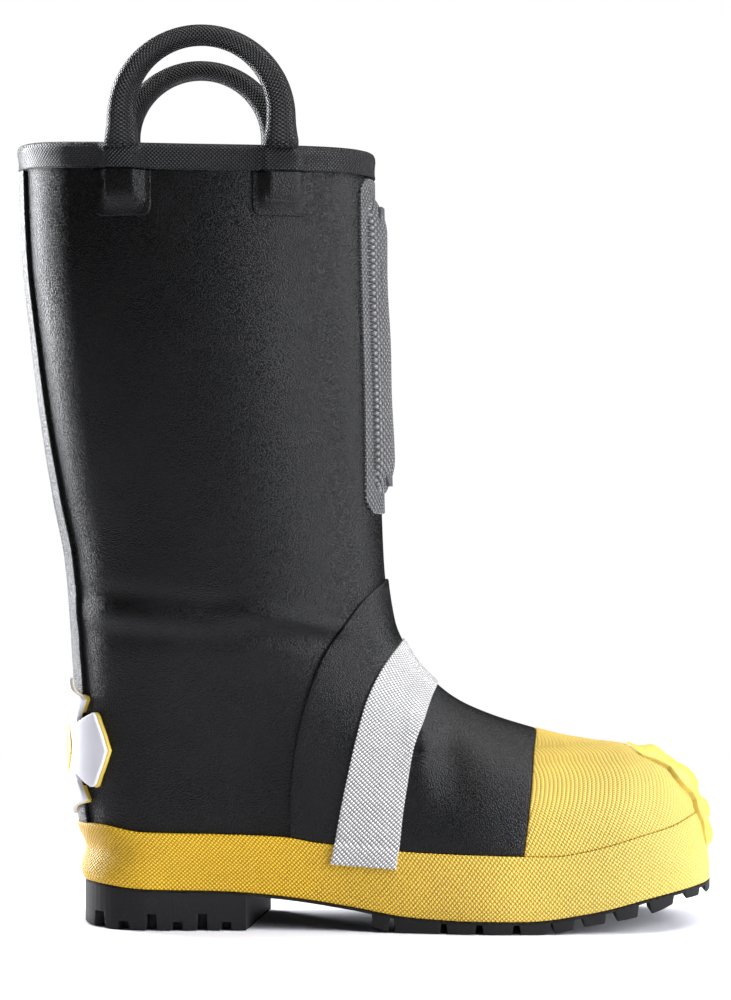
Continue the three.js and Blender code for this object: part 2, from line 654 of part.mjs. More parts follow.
function shinPadCover() {
  const grown = (grow) => prism('front', roundedBox(
    PAD_CORE.width + 2 * grow, PAD_CORE.low - grow, PAD_CORE.high + grow, PAD_CORE.corner + grow,
  ), PAD.rearX, FAR, 3);
  const outline = roundedBox(PAD.width, PAD.low, PAD.high, PAD.corner);
  const flange = bootSolid(PAD.flange).intersect(prism('front', outline, PAD.rearX, FAR, 3));
  const crown = bootSolid(PAD.outer).intersect(grown(GAP + PAD.skin));
  const pocket = bootSolid(PAD.outer - PAD.skin).intersect(grown(GAP));
  return flange.add(crown).subtract(pocket).subtract(bootSolid(OVERLAY.inner, -1, 1));
}

// Trapezoid block of tread between two x positions.
function lugPrism([x0, x1], from, to) {
  const root0 = foxingBottom(x0) - TREAD_BASE.lugRoot;
  const root1 = foxingBottom(x1) - TREAD_BASE.lugRoot;
  const foot0 = x0 + LUG.chamfer;
  const foot1 = x1 - LUG.chamfer;
  const feet = [foot0, foot1].map((x) => [x, treadBottom(x)]);
  return sidePrism([[x0, root0], ...feet, [x1, root1]], from, to);
}

function outsole() {
  const flush = bootSolid(FOXING.outer, SKIRT);
  const rim = flush.subtract(bootSolid(-LUG.depth, SKIRT - 1, 1));
  const lugRoot = (x) => foxingBottom(x) - TREAD_BASE.lugRoot;
  const plateTop = (x) => shellBottom(x) - TREAD_BASE.plateTop;
  const baseBottom = (x) => foxingBottom(x) - TREAD_BASE.thickness;
  const inset = bootSolid(UPPER.outer, SKIRT).intersect(band(lugRoot, plateTop));
  const base = flush.intersect(band(baseBottom, (x) => foxingBottom(x) - GAP));
  const edgeLugs = joined(LUGS.map((span) => lugPrism(span, -FAR, FAR))).intersect(rim);
  const centreLugs = joined(CENTRE_LUGS.map((span) => lugPrism(span, LUG.centreOuter, LUG.centreInner)));
  return joined([inset, base, edgeLugs, centreLugs, heelBlock(flush, lugRoot)]);
}

function heelBlock(flush, top) {
  const breast = [[HEEL.breastOuter, -HEEL.halfWidth], [HEEL.breastInner, HEEL.halfWidth]];
  const plan = shapeOf([[-FAR, -HEEL.halfWidth], ...breast, [-FAR, HEEL.halfWidth]]);
  const block = flush.intersect(prism('plan', plan, 0, -SKIRT)).intersect(band(always(0), top));
  const half = HEEL.groove / 2;
  const grooves = joined(HEEL_GROOVES.map(([x, height]) => sidePrism(
    [[x - half, -1], [x + half, -1], [x + half - HEEL.taper, height], [x - half + HEEL.taper, height]],
  )));
  return block.subtract(grooves.subtract(bootSolid(FOXING.outer - HEEL.grooveDepth, SKIRT - 1)));
}

addPart('outsole', outsole(), BLACK, 0.85);
addPart('foxing_band', foxingBand(), YELLOW, 0.55);
addPart('upper_shell', upperShell(), BLACK, 0.5);
addPart('puncture_plate', bottomLayer(BOTTOM_INSET, PLATE), STEEL, 0.35, 1);
addPart('shank', bottomLayer(BOTTOM_INSET, FILLER).intersect(shank(0)), STEEL, 0.35, 1);
addPart('bottom_filler', bottomLayer(BOTTOM_INSET, FILLER).subtract(shank(GAP)), 0x6d5a3f, 0.95);
addPart('insole_board', bottomLayer(BOTTOM_INSET, BOARD), 0xb09a72, 0.95);
addPart('lining', lining(), 0x4a4a48, 0.95);
addPart('steel_toe_cap', innerShell(TOE_CAP, xSlab(TOE_CAP.rear, FAR)), STEEL, 0.35, 1);
const stripSpan = xSlab(EDGE_STRIP.rear, EDGE_STRIP.front);
addPart('toe_cap_edge_strip', innerShell(EDGE_STRIP, stripSpan), 0x222222, 0.7);
addPart('heel_counter', innerShell(COUNTER, boxSide(-FAR, COUNTER.front, 0, COUNTER.top, 0)), 0x3b3a38, 0.8);
addPart('footbed', bottomLayer(FOOTBED.offset, FOOTBED), 0x5b5e60, 0.95);
addPart('vamp_overlay', vampOverlay(), BLACK, 0.55);
addPart('toe_cover', toeCover(), YELLOW, 0.55);
addPart('toe_bumper', toeBumper(), YELLOW, 0.45);
addPart('reflective_strip', reflectiveStrip(), 0xc9ccd0, 0.4);
addPart('back_stay', backStay(), BLACK, 0.5);
addPart('heel_badge_base', badgeBase(), YELLOW, 0.5);
addPart('heel_badge_face', badgeFace(), 0xeeeeea, 0.35);
addPart('heel_badge_disc', badgeDisc(), 0xe0b22a, 0.35);
addPart('shin_pad_core', shinPadCore(), 0x3a3a3a, 0.95);
addPart('shin_pad_cover', shinPadCover(), 0x2b2d30, 0.6);
addPart('top_binding', topBinding(), BLACK, 0.6);
for (const handle of HANDLES) {
  const places = ['rear', 'front'];
  legs(handle).forEach((x, i) => {
    addPart(`handle_foot_${handle.name}_${places[i]}`, handleFoot(handle, x), BLACK, 0.6);
    addPart(`handle_patch_${handle.name}_${places[i]}`, handlePatch(handle, x), BLACK, 0.55);
  });
  addPart(`pull_handle_${handle.name}`, pullHandle(handle), BLACK, 0.6);
}

export default boot;
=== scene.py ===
"""Fire boot looks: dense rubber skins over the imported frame, with procedural materials."""
import math

import bmesh
import bpy
import numpy as np
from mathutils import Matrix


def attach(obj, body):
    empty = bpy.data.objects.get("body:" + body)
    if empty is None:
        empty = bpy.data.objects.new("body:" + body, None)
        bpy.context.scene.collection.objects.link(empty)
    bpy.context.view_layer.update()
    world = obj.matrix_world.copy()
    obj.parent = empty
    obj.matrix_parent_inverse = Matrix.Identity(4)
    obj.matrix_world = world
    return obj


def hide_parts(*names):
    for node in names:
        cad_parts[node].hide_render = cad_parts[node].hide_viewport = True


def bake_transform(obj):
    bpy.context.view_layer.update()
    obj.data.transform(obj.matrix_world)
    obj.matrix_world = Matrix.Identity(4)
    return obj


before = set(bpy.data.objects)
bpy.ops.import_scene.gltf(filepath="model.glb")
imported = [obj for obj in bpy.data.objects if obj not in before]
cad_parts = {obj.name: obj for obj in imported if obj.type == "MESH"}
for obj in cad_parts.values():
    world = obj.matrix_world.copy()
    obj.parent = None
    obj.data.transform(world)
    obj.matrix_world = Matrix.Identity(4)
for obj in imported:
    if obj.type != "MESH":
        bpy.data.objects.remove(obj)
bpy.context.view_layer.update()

# ---------- sizes, in millimetres, the same as the frame's ----------

MM = 0.001
FRONT = [
    (20, 172), (50, 171.5), (66, 167), (74.2, 160.4), (81.4, 152), (85, 142), (88.4, 132.3),
    (90.4, 117), (93, 102), (96.7, 87.5), (104.2, 63.8), (111, 48.6), (120, 36), (133.5, 23.4),
    (154, 13.6), (185, 9.5), (300, 5.5), (393, 3),
]
BACK = [
    (20, -141.5), (32, -141.5), (51, -146), (82, -148.5), (113, -148.2), (150, -150), (185, -153),
    (216, -159.2), (257, -165.8), (298, -170.4), (340, -174.5), (393, -177),
]
SHAFT_HALF_WIDTH = [(100, 42), (150, 46), (206, 51), (300, 57), (393, 60.5)]
FOOT_OUTER = [(-150, 36.5), (-110, 38), (-60, 37.5), (-20, 40), (30, 48), (75, 54.5), (120, 54), (172, 52)]
FOOT_INNER = [(-150, 36.5), (-110, 38), (-60, 36), (-20, 36), (30, 42), (75, 50), (120, 52), (172, 52)]
TOE_SWING = [(-180, 0), (30, 0), (100, 3), (172, 8)]
HEEL_DEPTH = [(20, 38), (80, 42), (150, 62), (206, 83), (393, 90)]
FOXING_BOTTOM = [
    (-152, 22.5), (-137, 22.5), (-112, 20.5), (-71, 19.5), (-40, 17), (-8, 12.5), (24, 7.5), (56, 6.2),
    (80, 6.2), (112, 10), (145, 17.7), (166, 22), (180, 23.8),
]
FOXING_TOP = [
    (-152, 51.5), (-137, 52.4), (-112, 49), (-72, 48), (-40, 46.6), (-24, 44), (24, 40), (64, 38.6),
    (93, 37.9), (114, 41), (137, 47), (153, 51), (169, 56.4), (182, 58),
]
OVERLAY_REAR = [
    (30, -37.8), (65.5, -38), (81.5, -36.7), (99, -34), (119, -28.7), (136.5, -22), (154.2, -10),
    (164.7, -2), (176.8, 12.1), (183, 20),
]
STRIP_REAR = [
    (31, -18), (45, -15), (59.9, -12.4), (76, -9.2), (95, -5.1), (112.2, -0.75), (125, 4.5), (136, 11.2),
    (144.5, 18.5), (153, 26),
]
STRIP_FRONT = [
    (29, 15.6), (45.9, 17.6), (57, 18.7), (73.4, 21.2), (90.5, 24.3), (105.2, 28.9), (115.5, 32.8),
    (122.7, 37.2), (137, 48),
]
TOE_COVER_REAR = [(30, 77.5), (54.7, 81.1), (73.3, 83.3), (89.5, 85.2), (98.2, 88), (108, 92)]
CROWN_POWER, HEEL_POWER, TOE_POWER = 2.35, 2.25, 3
PIVOT_X, PIVOT_Z, CROWN_FLOOR = 70, 190, 10
TOE_TIP, TOE_DEPTH = 172, 60
WELT_INSET = 5
RIM = {"back_x": -178, "back_z": 395, "front_x": 4, "front_z": 391.5, "sag": 3}
LOW_LEVEL, HIGH_LEVEL, FLAT_LOW, FLAT_HIGH = 20, 393, 60, 330

# Distances outward from the upper, edge roundings, and the outlines of the layers.
BEDDED = -0.2
UPPER_INNER, LINING_OUTER, LINING_INNER = -2.5, -2.8, -7.0
OVERLAY, TOE_COVER, FOXING, BACK_STAY, STRIP, STRIP_OVER = 1.6, 1.9, 2.5, 1.8, 3.1, 4.0
STAY_HALF_WIDTH = 22
BINDING_OUTER, BINDING_INNER, BINDING_HEIGHT, BINDING_OVER = 1.8, -8.8, 10.8, 2
FOOT_HALF_WIDTH, FOOT_COVER, FOOT_BOTTOM = 7.7, 5.1, 364
PATCH_HALF_WIDTH, PATCH_BOTTOM, PATCH_TOP = 14.5, 357, 420
PAD = {"half": 28, "low": 208.8, "high": 379.6, "corner": 9, "flange": 1.6, "crown": 7.3}
PAD_CORE = {"half": 19.6, "low": 221.8, "high": 367.2, "corner": 8}
CORE_GROWTH, CROWN_RADIUS = 1.5, 12
BACK_X, PAD_X, BEYOND_TOE = -100, -60, 300
SEAM_GAP, BINDING_GAP, FAR_OUTSIDE = 0.15, 0.2, -50.0
LINING_BASE, LINING_FLOOR, FOOTBED_OFFSET = 8.1, 11.1, -10.8
STRIP_LOW, STRIP_TILT, STRIP_FLOOR = 32.5, 0.06, 1.2
STRIP_STEP = (0.2, 0.8, 1.4, 2.0)
TOE_FLARE = 2.6
BUMPER = {"plate": 3.3, "outer": 5.0, "rib": 7.4, "half": 20, "tip": 132.6, "shoulder": 150, "bottom": 33.6}
BUMPER_FLOOR, BUMPER_RADIUS = 1.5, 0.8
BUMPER_RIBS = (84.2, 70.8, 55.0, 40.5)
RIB_REACH, SCALLOP, SCALLOP_INSET = 6.6, 3.0, 1.8
BADGE = {"z": 89.7, "face_scale": 0.985, "narrow": 0.955, "radius": 14.7, "edge": 0.5}
BADGE_LAYERS = {"base": (BEDDED, 2.2), "face": (1.6, 4.1), "disc": (3.5, 5.2)}
BADGE_QUARTER = [(0, 35.4), (14, 30), (27, 26.4), (20, 12.5), (31, 19.6), (34, 8), (35.4, 0)]
HANDLES = {"outer": (-1, -81.3), "inner": (1, -88.3)}
HANDLE = {"y": 60, "span": 39.5, "top": 446, "straight": 407, "leg": 14.5, "crown": 10.5, "depth": 10}
TREAD = [(0, 4), (14, 0), (90, 0), (112, 4), (129, 6.7), (145, 10), (160, 15.6), (180, 17.6)]
LUGS = [
    (2.9, 12.4), (13.9, 38), (40, 55.4), (57.8, 73.8), (76.3, 90.7), (92.9, 104), (108, 120),
    (124.4, 136.5), (141.8, 154.8), (160, 169),
]
TOE_LUG = 171.5
CENTRE_LUGS = [(20, 32), (42, 54), (64, 76), (86, 98), (108, 120)]
LUG_DEPTH, LUG_SINK, LUG_EDGE, TOE_LUG_GAP = 20, 0.6, 0.9, 0.15
CENTRE_LUG_SIDES = (-16, 20)
HEEL_BREAST = {-1: -60, 1: -50}
HEEL_GROOVES = [(-132.5, 8.2), (-120.7, 4.3), (-107.3, 8.2), (-94.5, 4.3), (-82, 8.2), (-69.8, 4.3)]
GROOVE_HALF, GROOVE_DEPTH = 2.5, 5


# ---------- curves ----------

def profile(points):
    """Smooth curve through (t, value) points that never overshoots them."""
    t = np.array([p[0] for p in points], float)
    v = np.array([p[1] for p in points], float)
    secant = np.diff(v) / np.diff(t)
    product = secant[:-1] * secant[1:]
    total = np.where(product > 0, secant[:-1] + secant[1:], 1)
    inner = np.where(product > 0, 2 * product / total, 0)
    slope = np.concatenate([secant[:1], inner, secant[-1:]])

    def curve(at):
        at = np.clip(np.asarray(at, float), t[0], t[-1])
        i = np.clip(np.searchsorted(t, at) - 1, 0, len(secant) - 1)
        span = t[i + 1] - t[i]
        u = (at - t[i]) / span
        rise = u * (1 - u) * (1 - u) * slope[i] - u * u * (1 - u) * slope[i + 1]
        return v[i] + (v[i + 1] - v[i]) * u * u * (3 - 2 * u) + span * rise

    return curve


front_x, back_x = profile(FRONT), profile(BACK)
shaft_half_width, heel_depth = profile(SHAFT_HALF_WIDTH), profile(HEEL_DEPTH)
foot_half_width = {-1: profile(FOOT_OUTER), 1: profile(FOOT_INNER)}
toe_swing = profile(TOE_SWING)
foxing_bottom, foxing_top, tread_bottom = profile(FOXING_BOTTOM), profile(FOXING_TOP), profile(TREAD)


def running(steps):
    """Distance so far after each step, from 0."""
    return np.concatenate([[0], np.cumsum(steps)])


CREST_Z = np.linspace(LOW_LEVEL, HIGH_LEVEL, 4000)
CREST_X = front_x(CREST_Z)
CREST_LENGTH = running(np.hypot(np.diff(CREST_X), np.diff(CREST_Z)))


def shell_bottom(x):
    return foxing_bottom(x) + WELT_INSET


def crest_z(x):
    """Height of the front crest above x."""
    return np.interp(x, CREST_X[::-1], CREST_Z[::-1])


def instep_radius(angle):
    """Distance of the crest from the pivot in front of the ankle, by angle."""
    near = (CREST_Z <= PIVOT_Z + 1) & (CREST_X <= PIVOT_X + 1)
    down, back = PIVOT_Z - CREST_Z[near], PIVOT_X - CREST_X[near]
    order = np.argsort(np.arctan2(down, back))
    return np.interp(angle, np.arctan2(down, back)[order], np.hypot(down, back)[order])


def smoothstep(value, low, high):
    u = np.clip((value - low) / (high - low), 0, 1)
    return u * u * (3 - 2 * u)


def rounded(share, power):
    """Rise of a rounded edge from 0 to 1 as the share goes from 0 to 1."""
    return (1 - (1 - np.clip(share, 0, 1)) ** power) ** (1 / power)


def crest_depth(x, z):
    """Depth of a point below the front crest, and the depth at which the side is fully wide."""
    shaft = (front_x(z) - back_x(z)) / 2
    shaft_at_pivot = (front_x(PIVOT_Z) - back_x(PIVOT_Z)) / 2
    crest = crest_z(x)
    angle = np.arctan2(PIVOT_Z - z, PIVOT_X - x)
    reach = np.hypot(PIVOT_Z - z, PIVOT_X - x) - instep_radius(angle)
    instep = shaft_at_pivot + (crest_z(PIVOT_X) - CROWN_FLOOR - shaft_at_pivot) * 2 * angle / math.pi
    high, fore = z >= PIVOT_Z, x >= PIVOT_X
    depth = np.where(high, front_x(z) - x, np.where(fore, crest - z, reach))
    full = np.where(high, shaft, np.where(fore, np.maximum(crest - CROWN_FLOOR, 1), instep))
    return depth, full


def half_width(x, z, side):
    wide = foot_half_width[side](x)
    wide = wide + (shaft_half_width(z) - wide) * smoothstep(z, 70, 160)
    depth, full = crest_depth(x, z)
    heel = rounded((x - back_x(z)) / heel_depth(z), HEEL_POWER)
    toe = rounded((TOE_TIP - x) / TOE_DEPTH, TOE_POWER)
    return wide * rounded(depth / full, CROWN_POWER) * heel * toe


def rim_z(x):
    u = (x - RIM["back_x"]) / (RIM["front_x"] - RIM["back_x"])
    return RIM["back_z"] + (RIM["front_z"] - RIM["back_z"]) * u - 4 * RIM["sag"] * u * (1 - u)


def level_z(x, level):
    """Real height of a point on a level: low levels follow the sole and high ones the rim."""
    if level < FLAT_LOW:
        share = (level - LOW_LEVEL) / (FLAT_LOW - LOW_LEVEL)
        return shell_bottom(x) + (FLAT_LOW - shell_bottom(x)) * share
    if level > FLAT_HIGH:
        share = (level - FLAT_HIGH) / (HIGH_LEVEL - FLAT_HIGH)
        return FLAT_HIGH + (rim_z(x) - FLAT_HIGH) * share
    return np.full_like(x, level)


# ---------- the surface as a skin of triangles ----------

HALF_COLUMNS = 104
LEVEL_STEP = 3.2
SKIRT_ROWS = (8.0, 5.5, 3.0)
SNAP = 0.02
PX, PY, PZ, NX, NY, NZ, ARC, CREST = range(8)


def half_level(level, side):
    """Half of one level from front to back in equal steps, and its distance from the front."""
    u = (1 - np.cos(np.linspace(0, math.pi, 500))) / 2
    x = front_x(level) + (back_x(level) - front_x(level)) * u
    wide = half_width(x, np.full_like(x, level), side)
    wide[[0, -1]] = 0
    y = toe_swing(x) + side * wide
    length = running(np.hypot(np.diff(x), np.diff(y)))
    at = np.linspace(0, length[-1], HALF_COLUMNS + 1)
    x, y = np.interp(at, length, x), np.interp(at, length, y)
    return np.stack([x, y, level_z(x, level)], 1), at


def wall_shape(points):
    """Soft creases of the rubber: how far it stands out, by place."""
    x, z = points[..., 0], points[..., 2]

    def crease(x0, z0, x1, z1, width, height):
        """A soft ridge or dent along a line seen from the side, fading at its ends."""
        run = math.hypot(x1 - x0, z1 - z0)
        along = ((x - x0) * (x1 - x0) + (z - z0) * (z1 - z0)) / run
        across = ((z - z0) * (x1 - x0) - (x - x0) * (z1 - z0)) / run
        fade = smoothstep(along, -15, 15) * (1 - smoothstep(along, run - 15, run + 15))
        return height * fade * np.exp(-((across / width) ** 2))

    folds = crease(-140, 170, -60, 163, 5, -1.1) + crease(-140, 160, -70, 153, 5, 0.9)
    folds = folds + crease(-138, 149, -62, 146, 5, -0.9) + crease(-64, 160, -8, 151, 3.4, 2.0)
    folds = folds + crease(-66, 151, -8, 144, 5, -1.5)
    vamp = crease(25, 108, 30, 70, 5, 1.7) + crease(40, 106, 46, 70, 7, -1.3)
    waves = 0.35 * np.sin(z / 31 + x / 57) * smoothstep(z, 170, 230) * (1 - smoothstep(z, 360, 390))
    return folds + vamp + waves


def build_grid():
    """All levels as rings of points, outward normals, and distances along the ring and the crest."""
    count = int(CREST_LENGTH[-1] / LEVEL_STEP)
    levels = np.interp(np.linspace(0, CREST_LENGTH[-1], count + 1), CREST_LENGTH, CREST_Z)
    rings, arcs = [], []
    for level in levels:
        near, at_near = half_level(level, -1)
        far, at_far = half_level(level, 1)
        rings.append(np.concatenate([near, far[-2:0:-1]]))
        arcs.append(np.concatenate([at_near, at_far[-2:0:-1]]))
    lowest = rings[0]
    skirt = [lowest - np.array([0, 0, drop]) for drop in SKIRT_ROWS]
    points = np.stack(skirt + rings)
    arcs = np.stack([arcs[0]] * len(SKIRT_ROWS) + arcs)
    crest = np.interp(levels, CREST_Z, CREST_LENGTH)
    crest = np.concatenate([-np.array(SKIRT_ROWS), crest])
    normals = grid_normals(points)
    points = points + normals * wall_shape(points)[..., None]
    return points, grid_normals(points), arcs, crest


def grid_normals(points):
    along = np.roll(points, -1, 1) - np.roll(points, 1, 1)
    up = np.gradient(points, axis=0)
    normals = np.cross(up, along)
    flat = slice(0, len(SKIRT_ROWS) + 1)
    normals[flat, :, 2] = 0
    return normals / np.linalg.norm(normals, axis=2, keepdims=True)


class Skin:
    """A piece of the boot's surface. Each vertex row holds its place, normal, ring and crest
    distances, and any fields. Each triangle has a side: -1 is the outer side of the boot and 1 the inner."""

    def __init__(self, data, tris, side):
        self.data, self.tris, self.side = data, tris, side

    def copy(self):
        return Skin(self.data.copy(), self.tris.copy(), self.side.copy())

    def place(self):
        return self.data[:, PX], self.data[:, PY], self.data[:, PZ]

    def add(self, values):
        self.data = np.column_stack([self.data, values])
        return self.data.shape[1] - 1

    def keep(self, chosen):
        self.tris, self.side = self.tris[chosen], self.side[chosen]
        used, index = np.unique(self.tris, return_inverse=True)
        self.data, self.tris = self.data[used], index.reshape(-1, 3)

    def split(self, column, level):
        """Adds vertices where a field crosses a level, so that no triangle spans it."""
        near = np.abs(self.data[:, column] - level) < SNAP
        self.data[near, column] = level
        field = self.data[:, column] - level
        corner = field[self.tris]
        spans = (corner.max(1) > 0) & (corner.min(1) < 0)
        made, extra, tris, sides = {}, [], [], []

        def crossing(a, b):
            key = (min(a, b), max(a, b))
            if key not in made:
                p, q = key
                u = field[p] / (field[p] - field[q])
                row = self.data[p] * (1 - u) + self.data[q] * u
                row[column] = level
                made[key] = len(self.data) + len(extra)
                extra.append(row)
            return made[key]

        for tri, side in zip(self.tris[spans], self.side[spans]):
            above, below = [], []
            for k in range(3):
                a, b = tri[k], tri[(k + 1) % 3]
                if field[a] >= 0:
                    above.append(a)
                if field[a] <= 0:
                    below.append(a)
                if field[a] * field[b] < 0:
                    above.append(crossing(a, b))
                    below.append(crossing(a, b))
            for ring in (above, below):
                for k in range(1, len(ring) - 1):
                    tris.append((ring[0], ring[k], ring[k + 1]))
                    sides.append(side)
        if tris:
            self.tris = np.concatenate([self.tris[~spans], np.array(tris)])
            self.side = np.concatenate([self.side[~spans], np.array(sides)])
            self.data = np.concatenate([self.data, np.array(extra)])

    def trim(self, field, *levels):
        """Cuts the skin to where a field is above 0, with extra lines at the given levels."""
        column = self.add(field)
        reach = self.data[:, column][self.tris].max(1) > -1
        self.keep(reach)
        for level in (0, *levels):
            self.split(column, level)
        self.keep((self.data[:, column][self.tris] >= -1e-9).all(1))
        return column


def full_skin(grid):
    """The whole surface as a skin."""
    points, normals, arcs, crest = grid
    height, around = arcs.shape
    crests = np.repeat(crest[:, None], around, 1)
    data = np.concatenate([points, normals, arcs[..., None], crests[..., None]], 2).reshape(-1, 8)
    row, column = np.meshgrid(np.arange(height - 1), np.arange(around), indexing="ij")
    a = (row * around + column).ravel()
    b = (row * around + (column + 1) % around).ravel()
    c, d = b + around, a + around
    side = np.where(column.ravel() < around // 2, -1, 1)
    tris = np.concatenate([np.stack([a, d, c], 1), np.stack([a, c, b], 1)])
    return Skin(data, tris, np.concatenate([side, side]))


GRID = build_grid()
FULL = full_skin(GRID)


# ---------- fields: millimetres inside an outline, positive inside ----------

def edge_field(points, x, z):
    """Distance ahead of an edge that runs up the side, given as (z, x) points."""
    curve = profile(points)
    at = curve(z)
    slope = curve(z + 0.5) - curve(z - 0.5)
    return (x - at) / np.sqrt(1 + slope ** 2)


def polygon_field(points, u, v):
    """Distance inside a closed outline."""
    corner = np.array(points, float)
    follow = np.roll(corner, -1, 0)
    inside = np.zeros(len(u), bool)
    best = np.full(len(u), 1e9)
    for (u0, v0), (u1, v1) in zip(corner, follow):
        du, dv = u1 - u0, v1 - v0
        t = np.clip(((u - u0) * du + (v - v0) * dv) / (du * du + dv * dv), 0, 1)
        best = np.minimum(best, np.hypot(u - u0 - t * du, v - v0 - t * dv))
        crosses = (v0 > v) != (v1 > v)
        inside ^= crosses & (u < u0 + (v - v0) / (dv if dv else 1e-9) * du)
    return np.where(inside, best, -best)


def box_field(u, v, box, grow=0):
    """Distance inside a rounded box, centred on u = 0."""
    corner = box["corner"] + grow
    half_v = (box["high"] - box["low"]) / 2
    du = np.abs(u) - (box["half"] + grow - corner)
    dv = np.abs(v - box["low"] - half_v) - (half_v + grow - corner)
    outside = np.hypot(np.maximum(du, 0), np.maximum(dv, 0))
    return corner - outside - np.minimum(np.maximum(du, dv), 0)


def round_edge(field, radius):
    """Rise from 0 at an edge to 1 a radius inside it, as a quarter circle."""
    u = np.clip(field / radius, 0, 1)
    return np.sqrt(1 - (1 - u) ** 2)


# ---------- meshes ----------

def add_object(name, data):
    made = bpy.data.objects.new(name, data)
    bpy.context.scene.collection.objects.link(made)
    return made


def make_piece(name, points, faces, uvs=None, sharp=40):
    """A smooth mesh object from points in millimetres and one grain coordinate per face corner."""
    mesh = bpy.data.meshes.new(name)
    mesh.from_pydata((np.asarray(points, float) * MM).tolist(), [], [list(map(int, f)) for f in faces])
    mesh.polygons.foreach_set("use_smooth", [True] * len(mesh.polygons))
    mesh.set_sharp_from_angle(angle=math.radians(sharp))
    if uvs is not None:
        layer = mesh.uv_layers.new(name="grain")
        layer.uv.foreach_set("vector", np.asarray(uvs, float).ravel() * MM)
    mesh.validate()
    return add_object(name, mesh)


def solid_piece(name, skin, inner, outer, grain=None, sharp=40):
    """Closed mesh between two distances from a skin. Distances are numbers or one per vertex."""
    count = len(skin.data)
    place, normal = skin.data[:, PX:NX], skin.data[:, NX:ARC]
    inner = np.broadcast_to(np.asarray(inner, float), count)[:, None]
    outer = np.broadcast_to(np.asarray(outer, float), count)[:, None]
    points = np.concatenate([place + normal * outer, place + normal * inner])
    tris, side = skin.tris, skin.side
    edges = np.concatenate([tris[:, [0, 1]], tris[:, [1, 2]], tris[:, [2, 0]]])
    owner = np.tile(side, 3)
    forward = edges[:, 0].astype(np.int64) * count + edges[:, 1]
    backward = edges[:, 1].astype(np.int64) * count + edges[:, 0]
    open_edges = ~np.isin(forward, backward)
    a, b = edges[open_edges].T
    walls = np.stack([b, a, a + count, b + count], 1)
    faces = [*tris, *(tris[:, ::-1] + count), *walls]
    if grain is None:
        grain = skin.data[:, [ARC, CREST]]
    grain = np.concatenate([grain, grain])
    sides = np.concatenate([side, side, owner[open_edges]])
    corners = np.concatenate([np.asarray(f) for f in faces])
    uvs = grain[corners].copy()
    uvs[:, 0] *= np.repeat(sides, [len(f) for f in faces])
    return make_piece(name, points, faces, uvs, sharp)


def ring_mesh(rings, closed=False):
    """Faces through rings of equal count. A stack that doesn't close on itself is capped straight across."""
    rings = np.asarray(rings)
    height, around = rings.shape[:2]
    faces = []
    for j in range(height if closed else height - 1):
        for k in range(around):
            low, high = j * around, ((j + 1) % height) * around
            follow = (k + 1) % around
            faces.append((low + k, high + k, high + follow, low + follow))
    if not closed:
        for base, flip in ((0, False), ((height - 1) * around, True)):
            for k in range(around // 2):
                near, far = base + k, base + (around - k) % around
                ring = [near, near + 1, base + (around - k - 1) % around, far]
                ring = list(dict.fromkeys(ring))
                faces.append(ring[::-1] if flip else ring)
    return rings.reshape(-1, 3), faces


def grip_grain(rings, faces):
    """Grain coordinates of a handle: distance round each ring, and distance along the handle."""
    around = rings.shape[1]
    middle = rings.mean(1)
    along = running(np.linalg.norm(np.diff(middle, axis=0), axis=1))
    girth = np.linalg.norm(np.roll(rings, -1, 1) - rings, axis=2).sum(1).mean()
    uvs = []
    for face in faces:
        columns = [v % around for v in face]
        wrap = max(columns) - min(columns) > around // 2
        for v, column in zip(face, columns):
            turn = column + around if wrap and column < around // 2 else column
            uvs.append((turn / around * girth, along[v // around]))
    return uvs


# ---------- cuts: millimetres inside an edge, as functions of place ----------

def ahead_of(points, gap=0.0):
    return lambda x, y, z: edge_field(points, x, z) - gap


def behind(points, gap=0.0):
    return lambda x, y, z: -edge_field(points, x, z) - gap


def over(curve, gap=0.0):
    """Above a curve of x."""
    def field(x, y, z):
        slope = curve(x + 0.5) - curve(x - 0.5)
        return (z - curve(x)) / np.sqrt(1 + slope ** 2) - gap
    return field


def under(curve, gap=0.0):
    above = over(curve)
    return lambda x, y, z: -above(x, y, z) - gap


def at_back(field):
    """A field that holds only on the back of the boot."""
    return lambda x, y, z: np.where(x < BACK_X, field(x, y, z), FAR_OUTSIDE)


def at_side(side):
    return lambda x, y, z: side * y


# ---------- layers of the wall ----------

EDGE_RADIUS, WALL_SHARP = 0.8, 50


def edge_drop(skin, columns, radius):
    """How far a rounded edge falls below the flat, from the nearest of several edges."""
    nearest = np.minimum.reduce([skin.data[:, column] for column in columns])
    return radius * (1 - round_edge(nearest, radius))


def edge_lines(radius):
    """Distances inside an edge where a rounding needs vertices."""
    return 0.15 * radius, 0.5 * radius, radius


def cut_skin(cuts, radius, extra=()):
    """The part of the surface inside all cuts, and the columns that hold their fields."""
    skin = FULL.copy()
    columns = []
    for cut in cuts:
        columns.append(skin.trim(cut(*skin.place()), *edge_lines(radius)))
    for field, levels in extra:
        column = skin.add(field(*skin.place()))
        for level in levels:
            skin.split(column, level)
    return skin, columns


def layer(name, cuts, outer, radius=EDGE_RADIUS, inner=BEDDED, extra=(), grain=None, sharp=40):
    """A layer with rounded edges. Its outer distance is a number or a function of the skin."""
    skin, columns = cut_skin(cuts, radius, extra)
    top = outer(skin) if callable(outer) else outer
    marks = grain(skin) if grain else None
    return solid_piece(name, skin, inner, top - edge_drop(skin, columns, radius), marks, sharp)


def surface_rows(first, offset, last=None):
    """Rings of the surface at an offset, from a grid row upward."""
    points, normals = GRID[0], GRID[1]
    return points[first:last] + normals[first:last] * offset


SOLE_ROW = len(SKIRT_ROWS)


